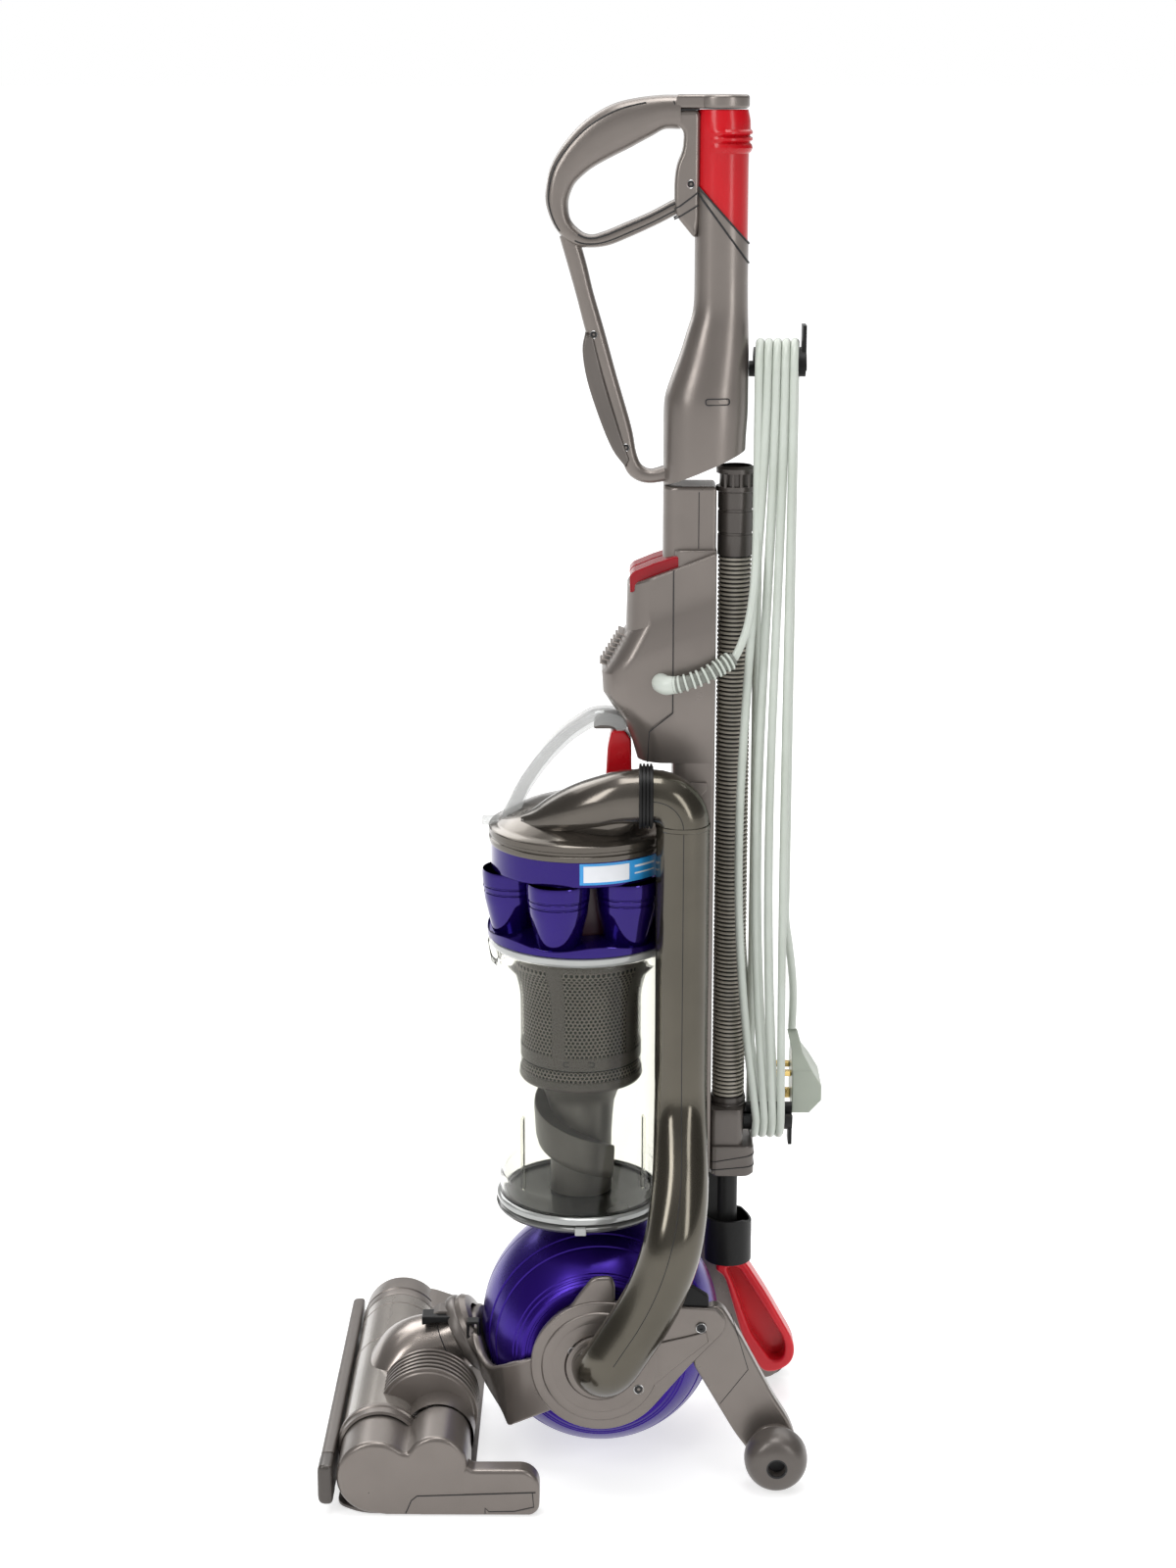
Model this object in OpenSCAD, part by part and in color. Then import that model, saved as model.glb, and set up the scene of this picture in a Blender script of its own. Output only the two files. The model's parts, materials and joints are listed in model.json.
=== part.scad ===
// Upright vacuum cleaner with a rolling ball body, bagless cyclone and wound mains lead.
// Millimetres, +Z up, front towards -Y. Every module is drawn about the ball's axle, whose
// foot on the floor is (0, 0, 0), and on_axle() then moves it into the part's own frame.

/* [Overall] */
// Radius of the ball, which is also the height of its axle
ball_r = 97; // [97:1:97]
// Half the width of the ball between its flat ends
ball_half_w = 74; // [74:1:74]
// Distance from the middle of the footprint back to the ball's axle
axle_back = 27; // [27:1:27]
// Height of the top of the handle
handle_top = 1077.5; // [1077:0.5:1079]

/* [Cleaner head] */
// Half the width of the cleaner head
head_half_w = 155; // [150:1:155]
// Distance of the brush axle ahead of the ball's axle
brush_ahead = 174; // [174:1:174]
// Height of the brush axle
brush_up = 33; // [33:1:33]
// Outer radius of the clear brush housing
brush_house_r = 33; // [33:0.5:33.5]
// Radius at the tips of the brush bristles
bristle_r = 29.5; // [27:0.5:30]
// Distance of the brush motor ahead of the ball's axle
motor_ahead = 125; // [124:1:126]
// Height of the brush motor
motor_up = 40; // [39:1:41]

/* [Cyclone and bin] */
// Distance of the cyclone's axis ahead of the ball's axle
bin_ahead = 16; // [16:1:17]
// Outer radius of the clear bin
bin_r = 66; // [64:0.5:66]
// Outer radius of the cyclone's band
band_r = 71; // [70:0.5:72]
// Height of the underside of the bin
bin_low = 200; // [200:0.5:201]
// Radius of the perforated shroud
shroud_r = 48; // [46:1:50]
// Number of small cyclones around the top
cone_count = 6; // [5:1:6]

/* [Ducts and hose] */
// Outer radius of the clean-air duct
duct_r = 20.5; // [19.5:0.5:20.5]
// Outer radius of the stretch hose
hose_r = 13; // [12:0.5:13.5]
// Side position of the duct where it runs up the spine
duct_side = 58; // [58:1:60]
// Side position of the duct where it passes the ball
duct_side_low = 114; // [114:1:115]

/* [Stand] */
// Radius of the two stand wheels
wheel_r = 25; // [25:0.5:25]
// Distance of the wheel axle behind the ball's axle
wheel_back = 140; // [138:1:140]

/* [Mains lead] */
// Diameter of the lead
cord_d = 6.5; // [6:0.5:6.5]
// Height of the bottom of the winding
wind_low = 258; // [258:1:258]
// Height of the top of the winding
wind_high = 899; // [899:1:899]

/* [Hidden] */
$fn = 64;

axle_z = ball_r;
run_gap = 0.05;               // radial clearance of a running fit
hub_r = 26;                   // hub tube that the yoke and the stand turn on
yoke_x = [75.5, 81.5];        // inner and outer face of a yoke arm
cover_x = [83, 91];           // inner and outer face of a stand cover
leg_x = [70, 82.5];           // inner and outer face of a stand leg
stub_r = 6;                   // stub axle of a stand wheel
pedal_pin = [106, 121];       // pin of the stand's pedal, behind and above the floor
pedal_x = [-69.5, -49];       // faces of the pedal, inside the far leg
neck_tilt = 29;               // slope of the neck's swivel axis
neck_y = -112;
neck_z = 82;
spigot_r = 22;
spine_y = [55, 88];
spine_half_w = 26;
housing_half_w = 36;
slope = 21;                   // slope of the housing's top, where the two buttons sit
wand_y = 89.5;                // axis of the wand
inner_wand_r = 17.5;
winding_y = [114.7, 150.7];
winding_out = 23;             // outer and inner half width of the winding
winding_in = 16.5;
hook_y = [151, 154];          // front and back face of a cable hook's tip
hook_stem_r = 6;
grey = [0.46, 0.44, 0.42];
dark = [0.16, 0.16, 0.17];
indigo = [0.2, 0.1, 0.55];
violet = [0.12, 0.07, 0.6];
red = [0.8, 0.05, 0.1];
lead = [0.72, 0.76, 0.72];
clear = [0.85, 0.87, 0.85, 0.35];

// ---------- helpers ----------

// Moves what is drawn about the ball's axle into the part's frame
module on_axle() {
    translate([0, axle_back, 0])
        children();
}

// Extrudes an outline of [y, z] points along X
module side_plate(x, points) {
    along_x(x)
        polygon(points);
}

// Extrudes a 2D shape, drawn in Y and Z, along X
module along_x(x) {
    translate([x[0], 0, 0])
        rotate([90, 0, 90])
            linear_extrude(height = x[1] - x[0])
                children();
}

// Rod along X at [y, z]
module rod_x(x, y, z, r) {
    translate([x[0], y, z])
        rotate([0, 90, 0])
            cylinder(r = r, h = x[1] - x[0]);
}

// Tube along X at [y, z]
module tube_x(x, y, z, r_out, r_in) {
    difference() {
        rod_x(x, y, z, r_out);
        rod_x([x[0] - 1, x[1] + 1], y, z, r_in);
    }
}

// Ring along Z about the axis at [x, y]
module ring_z(x, y, z, r_out, r_in) {
    translate([x, y, z[0]])
        difference() {
            cylinder(r = r_out, h = z[1] - z[0]);
            translate([0, 0, -1])
                cylinder(r = r_in, h = z[1] - z[0] + 2);
        }
}

// Draws the children on the +X and the -X side
module both_sides() {
    children();
    mirror([1, 0, 0])
        children();
}

// Box from its lowest corner to its highest
module block(a, b) {
    translate(a)
        cube(b - a);
}

function unit(v) = v / norm(v);

// Catmull-Rom curve through the points, with n steps between two of them
function spline_at(p, i, t) =
    let (a = p[max(i - 1, 0)], b = p[i], c = p[i + 1], d = p[min(i + 2, len(p) - 1)])
    0.5 * (2 * b + (c - a) * t + (2 * a - 5 * b + 4 * c - d) * t * t
        + (3 * b - a - 3 * c + d) * t * t * t);
function smooth(p, n) = concat(
    [for (i = [0 : len(p) - 2]) for (k = [0 : n - 1]) spline_at(p, i, k / n)],
    [p[len(p) - 1]]);

// Unit tangents of a path, and a side vector carried along it without twist
function tangents(p) = [for (i = [0 : len(p) - 1])
    unit(p[min(i + 1, len(p) - 1)] - p[max(i - 1, 0)])];
function carried(n, t, i = 0) = i == len(t) ? []
    : let (m = unit(n - t[i] * (n * t[i]))) concat([m], carried(m, t, i + 1));

function ring_points(p, t, m, r, sides) = [for (k = [0 : sides - 1])
    p + r * (cos(360 * k / sides) * m + sin(360 * k / sides) * cross(t, m))];
function rings(p, r, sides, start) =
    let (t = tangents(p), m = carried(start, t))
    [for (i = [0 : len(p) - 1])
        each ring_points(p[i], t[i], m[i], is_list(r) ? r[i] : r, sides)];
function wall(n, sides, base, inward) = [for (i = [0 : n - 2]) for (k = [0 : sides - 1])
    let (a = base + i * sides + k, b = base + i * sides + (k + 1) % sides)
    inward ? [a, b, b + sides, a + sides] : [a, a + sides, b + sides, b]];

// Solid rod swept along a path; r is one radius or one for each point
module swept_rod(p, r, sides = 12, start = [1, 0, 0]) {
    n = len(p);
    polyhedron(points = rings(p, r, sides, start), faces = concat(
        wall(n, sides, 0, false),
        [[for (k = [0 : sides - 1]) k]],
        [[for (k = [0 : sides - 1]) n * sides - 1 - k]]));
}

// Hollow tube swept along a path
module swept_tube(p, r_out, r_in, sides = 20, start = [1, 0, 0]) {
    n = len(p);
    inner = n * sides;
    last = (n - 1) * sides;
    polyhedron(
        points = concat(rings(p, r_out, sides, start), rings(p, r_in, sides, start)),
        faces = concat(wall(n, sides, 0, false), wall(n, sides, inner, true),
            [for (k = [0 : sides - 1]) let (j = (k + 1) % sides)
                [k, j, inner + j, inner + k]],
            [for (k = [0 : sides - 1]) let (j = (k + 1) % sides)
                [last + j, last + k, inner + last + k, inner + last + j]]));
}

// ---------- cleaner head ----------

module soleplate() color(dark) on_axle() {
    difference() {
        union() {
            block([-head_half_w, -208, 0], [head_half_w, -112, 4]);
            block([96, -113, 0], [head_half_w, -50, 4]);
            block([-head_half_w, -208, 0], [head_half_w, -207.5, 9]);
        }
        block([-110, -200, -1], [94, -148, 5]);
        both_sides()
            block([48, -144, -1], [68, -126, 5]);
    }
    both_sides()
        difference() {
            block([69, -140, 3.9], [73, -130, 12]);
            rod_x([60, 80], -135, 7, 2 + run_gap);
        }
}

module bumper_strip() color(dark) on_axle()
    along_x([-head_half_w, head_half_w]) {
        translate([-219, 12])
            square([11, 29]);
        translate([-216, 9])
            square([8, 35]);
        translate([-216, 12])
            circle(r = 3);
        translate([-216, 41])
            circle(r = 3);
    }

module brush_housing() color(clear) on_axle()
    difference() {
        tube_x([-112.5, 96], -brush_ahead, brush_up, brush_house_r, brush_house_r - 2);
        block([-120, -250, -10], [120, -100, 4.2]);
        translate([0, neck_y, neck_z])
            rotate([90 + neck_tilt, 0, 0])
                cylinder(r = 18, h = 62);
    }

module head_end_cap() color(grey) on_axle()
    difference() {
        union() {
            rod_x([-head_half_w, -113], -brush_ahead, brush_up, 32);
            rod_x([-128, -118], -brush_ahead, brush_up, 33.5);
            side_plate([-head_half_w, -113], [[-174, 4.2], [-118, 4.2], [-112, 12], [-112, 34],
                [-120, 44], [-148, 52], [-160, 50]]);
        }
        block([-160, -250, -10], [-100, -100, 4.2]);
        rod_x([-120, -112], -brush_ahead, brush_up, 6 + run_gap);
    }

module belt_cover() color(grey) on_axle()
    difference() {
        union() {
            rod_x([97, head_half_w], -brush_ahead, brush_up, 32);
            rod_x([97, head_half_w], -motor_ahead, motor_up, 24);
            side_plate([97, head_half_w], [[-174, 4.2], [-47, 4.2], [-47, 34], [-53, 42],
                [-105, 43], [-125, 62], [-150, 58], [-174, 64]]);
        }
        block([90, -250, -10], [160, -40, 4.2]);
        rod_x([96, 116], -brush_ahead, brush_up, 29.5);
        rod_x([96, 116], -motor_ahead, motor_up, 21);
        side_plate([96, 116], [[-174, 5], [-125, 20], [-125, 58], [-174, 60]]);
    }

module brush_motor_cover() color(dark) on_axle()
    difference() {
        union() {
            for (x = [48 : 8 : 88])
                rod_x([x, x + 4], -138, 48, 40);
            rod_x([48, 92], -138, 48, 37);
        }
        rod_x([47, 97], -138, 48, 33);
        block([40, -250, -10], [100, -90, 16]);
        rod_x([40, 100], -brush_ahead, brush_up, brush_house_r + 0.3);
    }

module brush_motor() color("silver") on_axle() {
    rod_x([42, 96], -motor_ahead, motor_up, 16);
    rod_x([95, 99.5], -motor_ahead, motor_up, 3);
}

// Outline of the belt's run around the two pulleys, grown by a gap
module belt_line(grow) {
    hull() {
        translate([-brush_ahead, brush_up])
            circle(r = 14 + grow, $fn = 32);
        translate([-motor_ahead, motor_up])
            circle(r = 8 + grow, $fn = 32);
    }
}

module drive_belt() color(dark) on_axle()
    along_x([101, 109])
        difference() {
            belt_line(2.2);
            belt_line(0.4);
        }

module brush_bar() color(red) on_axle() {
    rod_x([-108, 97], -brush_ahead, brush_up, 18);
    rod_x([-119, -107], -brush_ahead, brush_up, 6);
    rod_x([96, 101], -brush_ahead, brush_up, 8);
    rod_x([100, 110], -brush_ahead, brush_up, 14);
}

// Two rows of tufts wind once around the bar
module brush_bristles() color("dimgray") on_axle()
    for (row = [0, 180])
        for (i = [0 : 20])
            translate([-102 + 9.6 * i, -brush_ahead, brush_up])
                rotate([row + 12 * i, 0, 0])
                    translate([-2.5, -2, 18])
                        cube([5, 4, bristle_r - 18.1]);

module brush_motor_pulley() color("gray") on_axle()
    rod_x([100, 110], -motor_ahead, motor_up, 8);

module sole_rollers() color(dark) on_axle() {
    both_sides()
        rod_x([50, 66], -135, 7, 7);
    rod_x([-75, 75], -135, 7, 2);
}

// ---------- neck and yoke ----------

// Draws along the neck's swivel axis: +Z runs up and back into the yoke
module neck_axis() {
    translate([0, neck_y, neck_z])
        rotate([neck_tilt - 90, 0, 0])
            children();
}

module neck_elbow() color(grey) on_axle()
    difference() {
        union() {
            neck_axis()
                translate([0, 0, -52])
                    cylinder(r = 24, h = 51.5);
            neck_axis()
                translate([0, 0, -2])
                    cylinder(r = spigot_r, h = 12);
            intersection() {
                tube_x([-33, 33], -brush_ahead, brush_up, brush_house_r + 4, brush_house_r);
                side_plate([-34, 34], [[-174, 33], [-178, 80], [-130, 80], [-130, 48]]);
            }
        }
        rod_x([-60, 60], -brush_ahead, brush_up, brush_house_r + 0.5);
        neck_axis()
            translate([0, 0, -60])
                cylinder(r = 18, h = 80);
    }

module yoke_cradle() color(grey) on_axle()
    difference() {
        union() {
            intersection() {
                translate([0, 0, axle_z])
                    difference() {
                        sphere(r = ball_r + 10, $fn = 96);
                        sphere(r = ball_r + 3, $fn = 96);
                    }
                side_plate([-yoke_x[1], yoke_x[1]], [[0, axle_z], [-130, 152], [-130, 97],
                    [-130, 12]]);
            }
            neck_axis()
                cylinder(r = 29, h = 16);
            both_sides()
                along_x(yoke_x) {
                    translate([0, axle_z])
                        circle(r = 46);
                    polygon([[-16, 140], [-70, 124], [-77, 97], [-66, 50], [-14, 53]]);
                }
        }
        both_sides()
            rod_x([70, 90], 0, axle_z, hub_r + run_gap);
        neck_axis()
            translate([0, 0, -1])
                cylinder(r = spigot_r + run_gap, h = 12);
        neck_axis()
            ring_z(0, 0, [-20, 7.1], 40, 29);
        translate([0, 0, axle_z])
            sphere(r = ball_r + 3, $fn = 96);
    }

module neck_collar() color(dark) on_axle()
    neck_axis()
        ring_z(0, 0, [0, 7], 33, 29.02);

// ---------- ball ----------

ball_end = asin(ball_half_w / ball_r);   // angle at which the ball's end is cut flat
ball_wall = 3.5;
ball_bore = 52;

// Half of the ball: a round skin that turns in at its end to a bore for the bearing
module ball_shell() {
    steps = 24;
    inner_r = ball_r - ball_wall;
    translate([0, 0, axle_z])
        rotate([0, 90, 0])
            rotate_extrude($fn = 96)
                polygon(concat(
                    [for (i = [0 : steps]) let (a = ball_end * i / steps)
                        [ball_r * cos(a), ball_r * sin(a)]],
                    [[ball_bore, ball_half_w], [ball_bore, ball_half_w - ball_wall]],
                    [for (i = [steps - 1 : -1 : 0]) let (a = ball_end * i / steps)
                        [inner_r * cos(a), inner_r * sin(a)]]));
}

module ball_shell_near() color(indigo) on_axle()
    ball_shell();

module ball_shell_far() color(indigo) on_axle()
    mirror([1, 0, 0])
        ball_shell();

module motor_bucket() color(dark) on_axle() {
    tube_x([-72, 72], 0, axle_z, 47, 44);
    both_sides() {
        tube_x([70, 74], 0, axle_z, 47, 21.5);
        tube_x([73.9, 93], 0, axle_z, hub_r, 21.5);
    }
    rod_x([-93, -90], 0, axle_z, 22);
}

module vacuum_motor() color("silver") on_axle() {
    rod_x([-34, 22], 0, axle_z, 38);
    tube_x([-36, -30], 0, axle_z, 43.9, 37.9);
    tube_x([14, 20], 0, axle_z, 43.9, 37.9);
    rod_x([21, 44], 0, axle_z, 4);
}

module motor_fan() color("gray") on_axle()
    difference() {
        union() {
            rod_x([27, 29], 0, axle_z, 36);
            rod_x([27, 42], 0, axle_z, 9);
            for (i = [0 : 8])
                translate([0, 0, axle_z])
                    rotate([40 * i, 0, 0])
                        block([28.5, 8, -1.2], [38, 35, 1.2]);
        }
        rod_x([20, 50], 0, axle_z, 4 + run_gap);
    }

module exhaust_filter() color("white") on_axle()
    tube_x([-66, -42], 0, axle_z, 43.8, 24);

module ball_bearings() color("silver") on_axle()
    both_sides()
        tube_x([68.5, 74], 0, axle_z, 52 - run_gap, 47.02);

// ---------- spine, housing, hose ----------

module spine() color(grey) on_axle()
    difference() {
        union() {
            block([-spine_half_w, spine_y[0], 236], [spine_half_w, spine_y[1], 741]);
            block([-20, 47, 741], [20, spine_y[1], 788]);
            block([-housing_half_w, 54.3, 615], [housing_half_w, spine_y[1], 727]);
        }
        block([-22, spine_y[0] + 4, 240], [22, spine_y[1] - 4, 737]);
        block([-16, 51, 736], [16, 84, 789]);
    }

module front_housing() color(grey) on_axle()
    difference() {
        side_plate([-housing_half_w, housing_half_w], [[20, 714], [19, 676], [8, 655],
            [0, 645], [2, 629], [8, 620], [19, 607], [28, 575], [54, 575], [54, 727]]);
        side_plate([-housing_half_w + 3, housing_half_w - 3], [[23, 711], [23, 675], [12, 653],
            [4, 644], [6, 631], [11, 623], [22, 609], [30, 579], [51, 579], [51, 721]]);
        button_frame()
            both_sides()
                block([1.5, 2.5, -12], [24.5, 32.5, 2]);
    }

// Frame on the housing's sloping top: +Z stands out of it
module button_frame() {
    translate([0, 20, 714])
        rotate([slope, 0, 0])
            children();
}

module button(x) {
    on_axle()
        button_frame() {
            block([x, 3, -7], [x + 22, 32, 7]);
            block([x, 5, 6.9], [x + 22, 30, 10]);
        }
}

module power_button() color(red)
    button(-24);

module brush_button() color(red)
    button(2);

module hose() color(dark) on_axle()
    ring_z(0, 102.5, [294.5, 734], hose_r, hose_r - 2.5);

module hose_collars() color(dark) on_axle() {
    ring_z(0, 102.5, [734.1, 803], 13.6, hose_r - 2);
    for (z = [738, 752, 766, 780])
        ring_z(0, 102.5, [z, z + 5], 14.3, hose_r - 2);
    ring_z(0, 102.5, [281.1, 294.4], 14.3, hose_r - 2);
}

module valve_housing() color(grey) on_axle()
    difference() {
        union() {
            block([-24, 88.1, 232], [24, 123, 257.5]);
            block([-22, 88.1, 257], [22, 114.5, 281]);
        }
        translate([0, 102.5, 250])
            cylinder(r = hose_r - 3, h = 60);
        translate([0, 102.5, 220])
            cylinder(r = 8.6, h = 40);
    }

module rear_tube() color(dark) on_axle() {
    ring_z(0, 102.5, [172, 240], 8.5, 6.5);
    difference() {
        translate([0, 104, 152])
            cylinder(r = 19, h = 38);
        translate([0, 104, 155])
            cylinder(r = 17, h = 40);
        translate([0, 96, 202])
            rotate([-32, 0, 0])
                block([-30, -40, 0], [30, 60, 40]);
    }
    block([-4, 86, 172], [4, 95.5, 232]);
}

// A hook's stem, the half ring that the lead bends round, and its tip from z[0] to z[1];
// side is 1 where the half ring faces up and -1 where it faces down
module cable_hook(stem_from, stem_z, side, z) {
    saddle_r = winding_in - 0.3;
    translate([0, stem_from, stem_z])
        rotate([-90, 0, 0])
            cylinder(r = hook_stem_r, h = hook_y[1] - stem_from);
    translate([0, hook_y[1], stem_z])
        rotate([90, 0, 0])
            linear_extrude(height = hook_y[1] - winding_y[0])
                difference() {
                    circle(r = saddle_r);
                    circle(r = saddle_r - 3);
                    translate([-20, side > 0 ? -20 : 0])
                        square([40, 20]);
                }
    for (a = [30, 90, 150])
        translate([0, hook_y[1], stem_z])
            rotate([0, -side * a, 0])
                block([0, winding_y[0] - hook_y[1], -1.2], [saddle_r - 1, 0, 1.2]);
    block([-9, hook_y[0], z[0]], [9, hook_y[1], z[1]]);
}

module lower_hook() color(dark) on_axle()
    difference() {
        cable_hook(114.5, wind_low + winding_out, -1,
            [wind_low - 4, wind_low + winding_out - 3]);
        block([-10, 110, 281], [10, 117.2, 290]);
    }

module upper_hook() color(dark) on_axle()
    cable_hook(111.3, wind_high - winding_out, 1,
        [wind_high - winding_out + 3, wind_high + 10]);

module strain_relief() color(lead) on_axle()
    swept_rod(smooth([[36.2, 46, 641], [45, 50, 641], [49, 62, 643], [48, 78, 648],
        [45, 91, 654], [42, 101, 661]], 3),
        [for (i = [0 : 15]) 9 - 3.5 * i / 15], 12, [0, 0, 1]);

// ---------- clean-air duct ----------

elbow_r = 24;
low_slope = 58;
down = [0, -cos(low_slope), -sin(low_slope)];
elbow_at = [duct_side_low, 0, axle_z] - elbow_r * down;
bow_r = 240;
bow_from = elbow_at - 26 * down;
function ease(t) = let (c = min(max(t, 0), 1)) c * c * (3 - 2 * c);
function duct_x(z) = duct_side_low - (duct_side_low - duct_side) * ease((z - 200) / 120);
duct_y = bow_from[1] + bow_r * (1 - sin(low_slope));
bend_top = 534;
bend_r = 23;
duct_path = concat(
    [[84, 0, axle_z]],
    [for (a = [90 : -15 : 0])
        elbow_at + elbow_r * (down * sin(a) + [-1, 0, 0] * (1 - cos(a)))],
    [for (a = [low_slope : 3.2 : 90])
        let (y = bow_from[1] + bow_r * (sin(a) - sin(low_slope)),
            z = bow_from[2] + bow_r * (cos(low_slope) - cos(a)))
        [duct_x(z), y, z]],
    [[duct_side, duct_y, 330], [duct_side, duct_y, bend_top]],
    [for (a = [15 : 15 : 90])
        [duct_side, duct_y - bend_r * (1 - cos(a)), bend_top + bend_r * sin(a)]],
    [[duct_side, 31, bend_top + bend_r]]);

module clean_air_duct() color(grey) on_axle()
    swept_tube(duct_path, duct_r, duct_r - 2, 20, [0, 0, 1]);

module duct_clip() color(dark) on_axle()
    translate([duct_side, 40, bend_top + bend_r])
        rotate([90, 0, 0])
            ring_z(0, 0, [0, 11], 25, duct_r + 0.3);

// ---------- wand and handle ----------

module wand_tube() color(grey) on_axle()
    difference() {
        swept_rod([[0, 79, 788], [0, 79.5, 820], [0, 79.5, 857], [0, 81.5, 880], [0, 85.5, 905],
            [0, 88.5, 926], [0, wand_y, 946], [0, wand_y, 1014]],
            [30.5, 31, 31.5, 28.5, 24, 21.2, 20, 20], 32);
        translate([0, wand_y, 815])
            cylinder(r = inner_wand_r + run_gap, h = 260);
        translate([0, 52, 788.2])
            rotate([25, 0, 0])
                block([-40, -40, -60], [40, 90, 0]);
        translate([0, 72, 1010])
            rotate([-47, 0, 0])
                block([-40, -60, 0], [40, 90, 60]);
    }

module handle_grip() color(grey) on_axle()
    difference() {
        side_plate([-13, 13], [[-42, 1012], [-40, 1025], [-29, 1040], [-10, 1059], [18, 1072],
            [38, 1076], [54.5, handle_top - 0.5], [54.5, 1066.5], [72, 1066.5], [72, 985],
            [70, 972], [55, 990], [19, 973], [9, 969.5], [-3, 967], [-16, 967.8], [-30, 973.5],
            [-36, 985], [-40, 999]]);
        side_plate([-20, 20], [[-24, 1007], [-19, 1014], [-13, 1019], [14, 1032], [30, 1041],
            [40, 1049], [48, 1053], [55, 1051], [60, 1045], [60, 1036], [55, 1026], [54, 1018],
            [54, 1001], [19, 985], [4, 978], [-6, 975.5], [-16, 978], [-23, 987], [-25, 997]]);
        translate([0, wand_y, 900])
            cylinder(r = 20.3, h = 200);
    }

module handle_strut() color(grey) on_axle()
    side_plate([-8, 8], [[-30.5, 973.2], [-16, 967.4], [-6, 931], [3, 904], [12, 871],
        [23, 830], [24, 823], [24, 812], [30, 803], [37, 800], [46, 803], [47.5, 790.5],
        [36, 789], [27, 792], [19, 801], [10, 830], [-2, 866], [-12, 903], [-19, 931]]);

module grip_pad() color(dark) on_axle()
    side_plate([-11, 11], [[-12.4, 902.5], [-13.5, 886], [-8.5, 862], [1, 835], [11, 813],
        [18.3, 802.5], [9.6, 830], [-2.4, 866]]);

module wand_collar() color(red) on_axle()
    difference() {
        union() {
            translate([0, wand_y, 820])
                cylinder(r = inner_wand_r, h = 247);
            difference() {
                union() {
                    translate([0, wand_y, 960])
                        cylinder(r = 19.5, h = 107);
                    for (z = [1041, 1047, 1053])
                        translate([0, wand_y, z])
                            cylinder(r = 20.2, h = 3);
                }
                translate([0, 72, 1010.6])
                    rotate([-47, 0, 0])
                        block([-40, -60, -100], [40, 90, 0]);
            }
        }
        translate([0, wand_y, 810])
            cylinder(r = 15.5, h = 270);
    }

module wand_cap() color(grey) on_axle() {
    block([-13, 55, 1067.2], [13, 90, handle_top]);
    translate([0, wand_y, 1067.2])
        cylinder(r = 19.5, h = handle_top - 1067.2);
}

// Screw heads of the same kind, on the near side of the handle and the strut
module body_screws() color("black") on_axle()
    for (s = [[13.1, 66, 1013], [8.1, -6, 902], [8.1, 19.5, 816]])
        rod_x([s[0], s[0] + 1.2], s[1], s[2], 2.6);

// ---------- mains lead ----------

// Route of the lead from the strain relief into the winding
lead_in = [[42, 101, 661], [41, 104, 666], [39.5, 107.5, 674], [37.5, 111, 684],
    [34.5, 113.8, 697], [31, 115.8, 712], [27, 117, 728], [23.5, 117.7, 744],
    [21, 118, 762], [19.8, 118, 780]];
// Route of the lead from the back of the winding into the plug
lead_out = [[-19.8, 147.4, 440], [-20.5, 148.5, 428], [-22.5, 150.5, 416], [-26, 152.5, 402],
    [-31, 154.5, 386], [-35, 155.8, 370], [-37.5, 156, 354], [-38, 155.5, 337]];
plug_x = -38;

module cord_ends() color(lead) on_axle() {
    swept_rod(smooth(lead_in, 2), cord_d / 2, 10, [0, 1, 0]);
    swept_rod(smooth(lead_out, 2), cord_d / 2, 10, [1, 0, 0]);
}

module race_track(r) {
    low = wind_low + winding_out;
    high = wind_high - winding_out;
    for (z = [low, high])
        translate([0, z])
            circle(r = r);
    translate([-r, low])
        square([2 * r, high - low]);
}

module cord_winding() color(lead) on_axle()
    translate([0, winding_y[1], 0])
        rotate([90, 0, 0])
            linear_extrude(height = winding_y[1] - winding_y[0])
                difference() {
                    race_track(winding_out);
                    race_track(winding_in);
                }

module plug_body() color(lead) on_axle()
    difference() {
        side_plate([plug_x - 24, plug_x + 24], [[155, 322], [151.5, 336.9], [159.5, 336.9],
            [164, 320], [179, 295], [179, 283], [169, 272], [155, 272]]);
        for (x = [-24, 24])
            translate([plug_x + x, 140, 330])
                rotate([0, x > 0 ? -40 : 40, 0])
                    block([-14, 0, -22], [14, 40, 22]);
    }

// Two flat pins and, lower down, a longer third one
module plug_pins() color("gold") on_axle() {
    for (x = [-11.1, 11.1])
        block([plug_x + x - 3.1, 137.2, 300], [plug_x + x + 3.1, 155, 304]);
    block([plug_x - 2, 132.3, 277], [plug_x + 2, 155, 285]);
}

// ---------- stand ----------

module side_cover(bore) {
    difference() {
        union() {
            rod_x(cover_x, 0, axle_z, 55);
            rod_x(cover_x, 85, 133, 14);
            side_plate(cover_x, [[4, 151.5], [85, 146.9], [97.5, 127], [43, 64], [0, axle_z]]);
        }
        rod_x([80, 100], 0, axle_z, bore);
    }
}

module side_cover_near() color(grey) on_axle()
    side_cover(hub_r + run_gap);

module side_cover_far() color(grey) on_axle()
    mirror([1, 0, 0])
        side_cover(hub_r + run_gap);

module stand_leg() {
    side_plate([leg_x[0], leg_x[1] + 0.4], [[76, 90], [78, 140], [90, 147], [98, 144],
        [113, 118], [138, 69], [151, 48], [158, 30], [150, 12], [139, 8], [124, 14], [112, 30]]);
    rod_x([leg_x[1], 124], wheel_back, wheel_r, stub_r);
}

module stand_leg_near() color(grey) on_axle()
    stand_leg();

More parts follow.
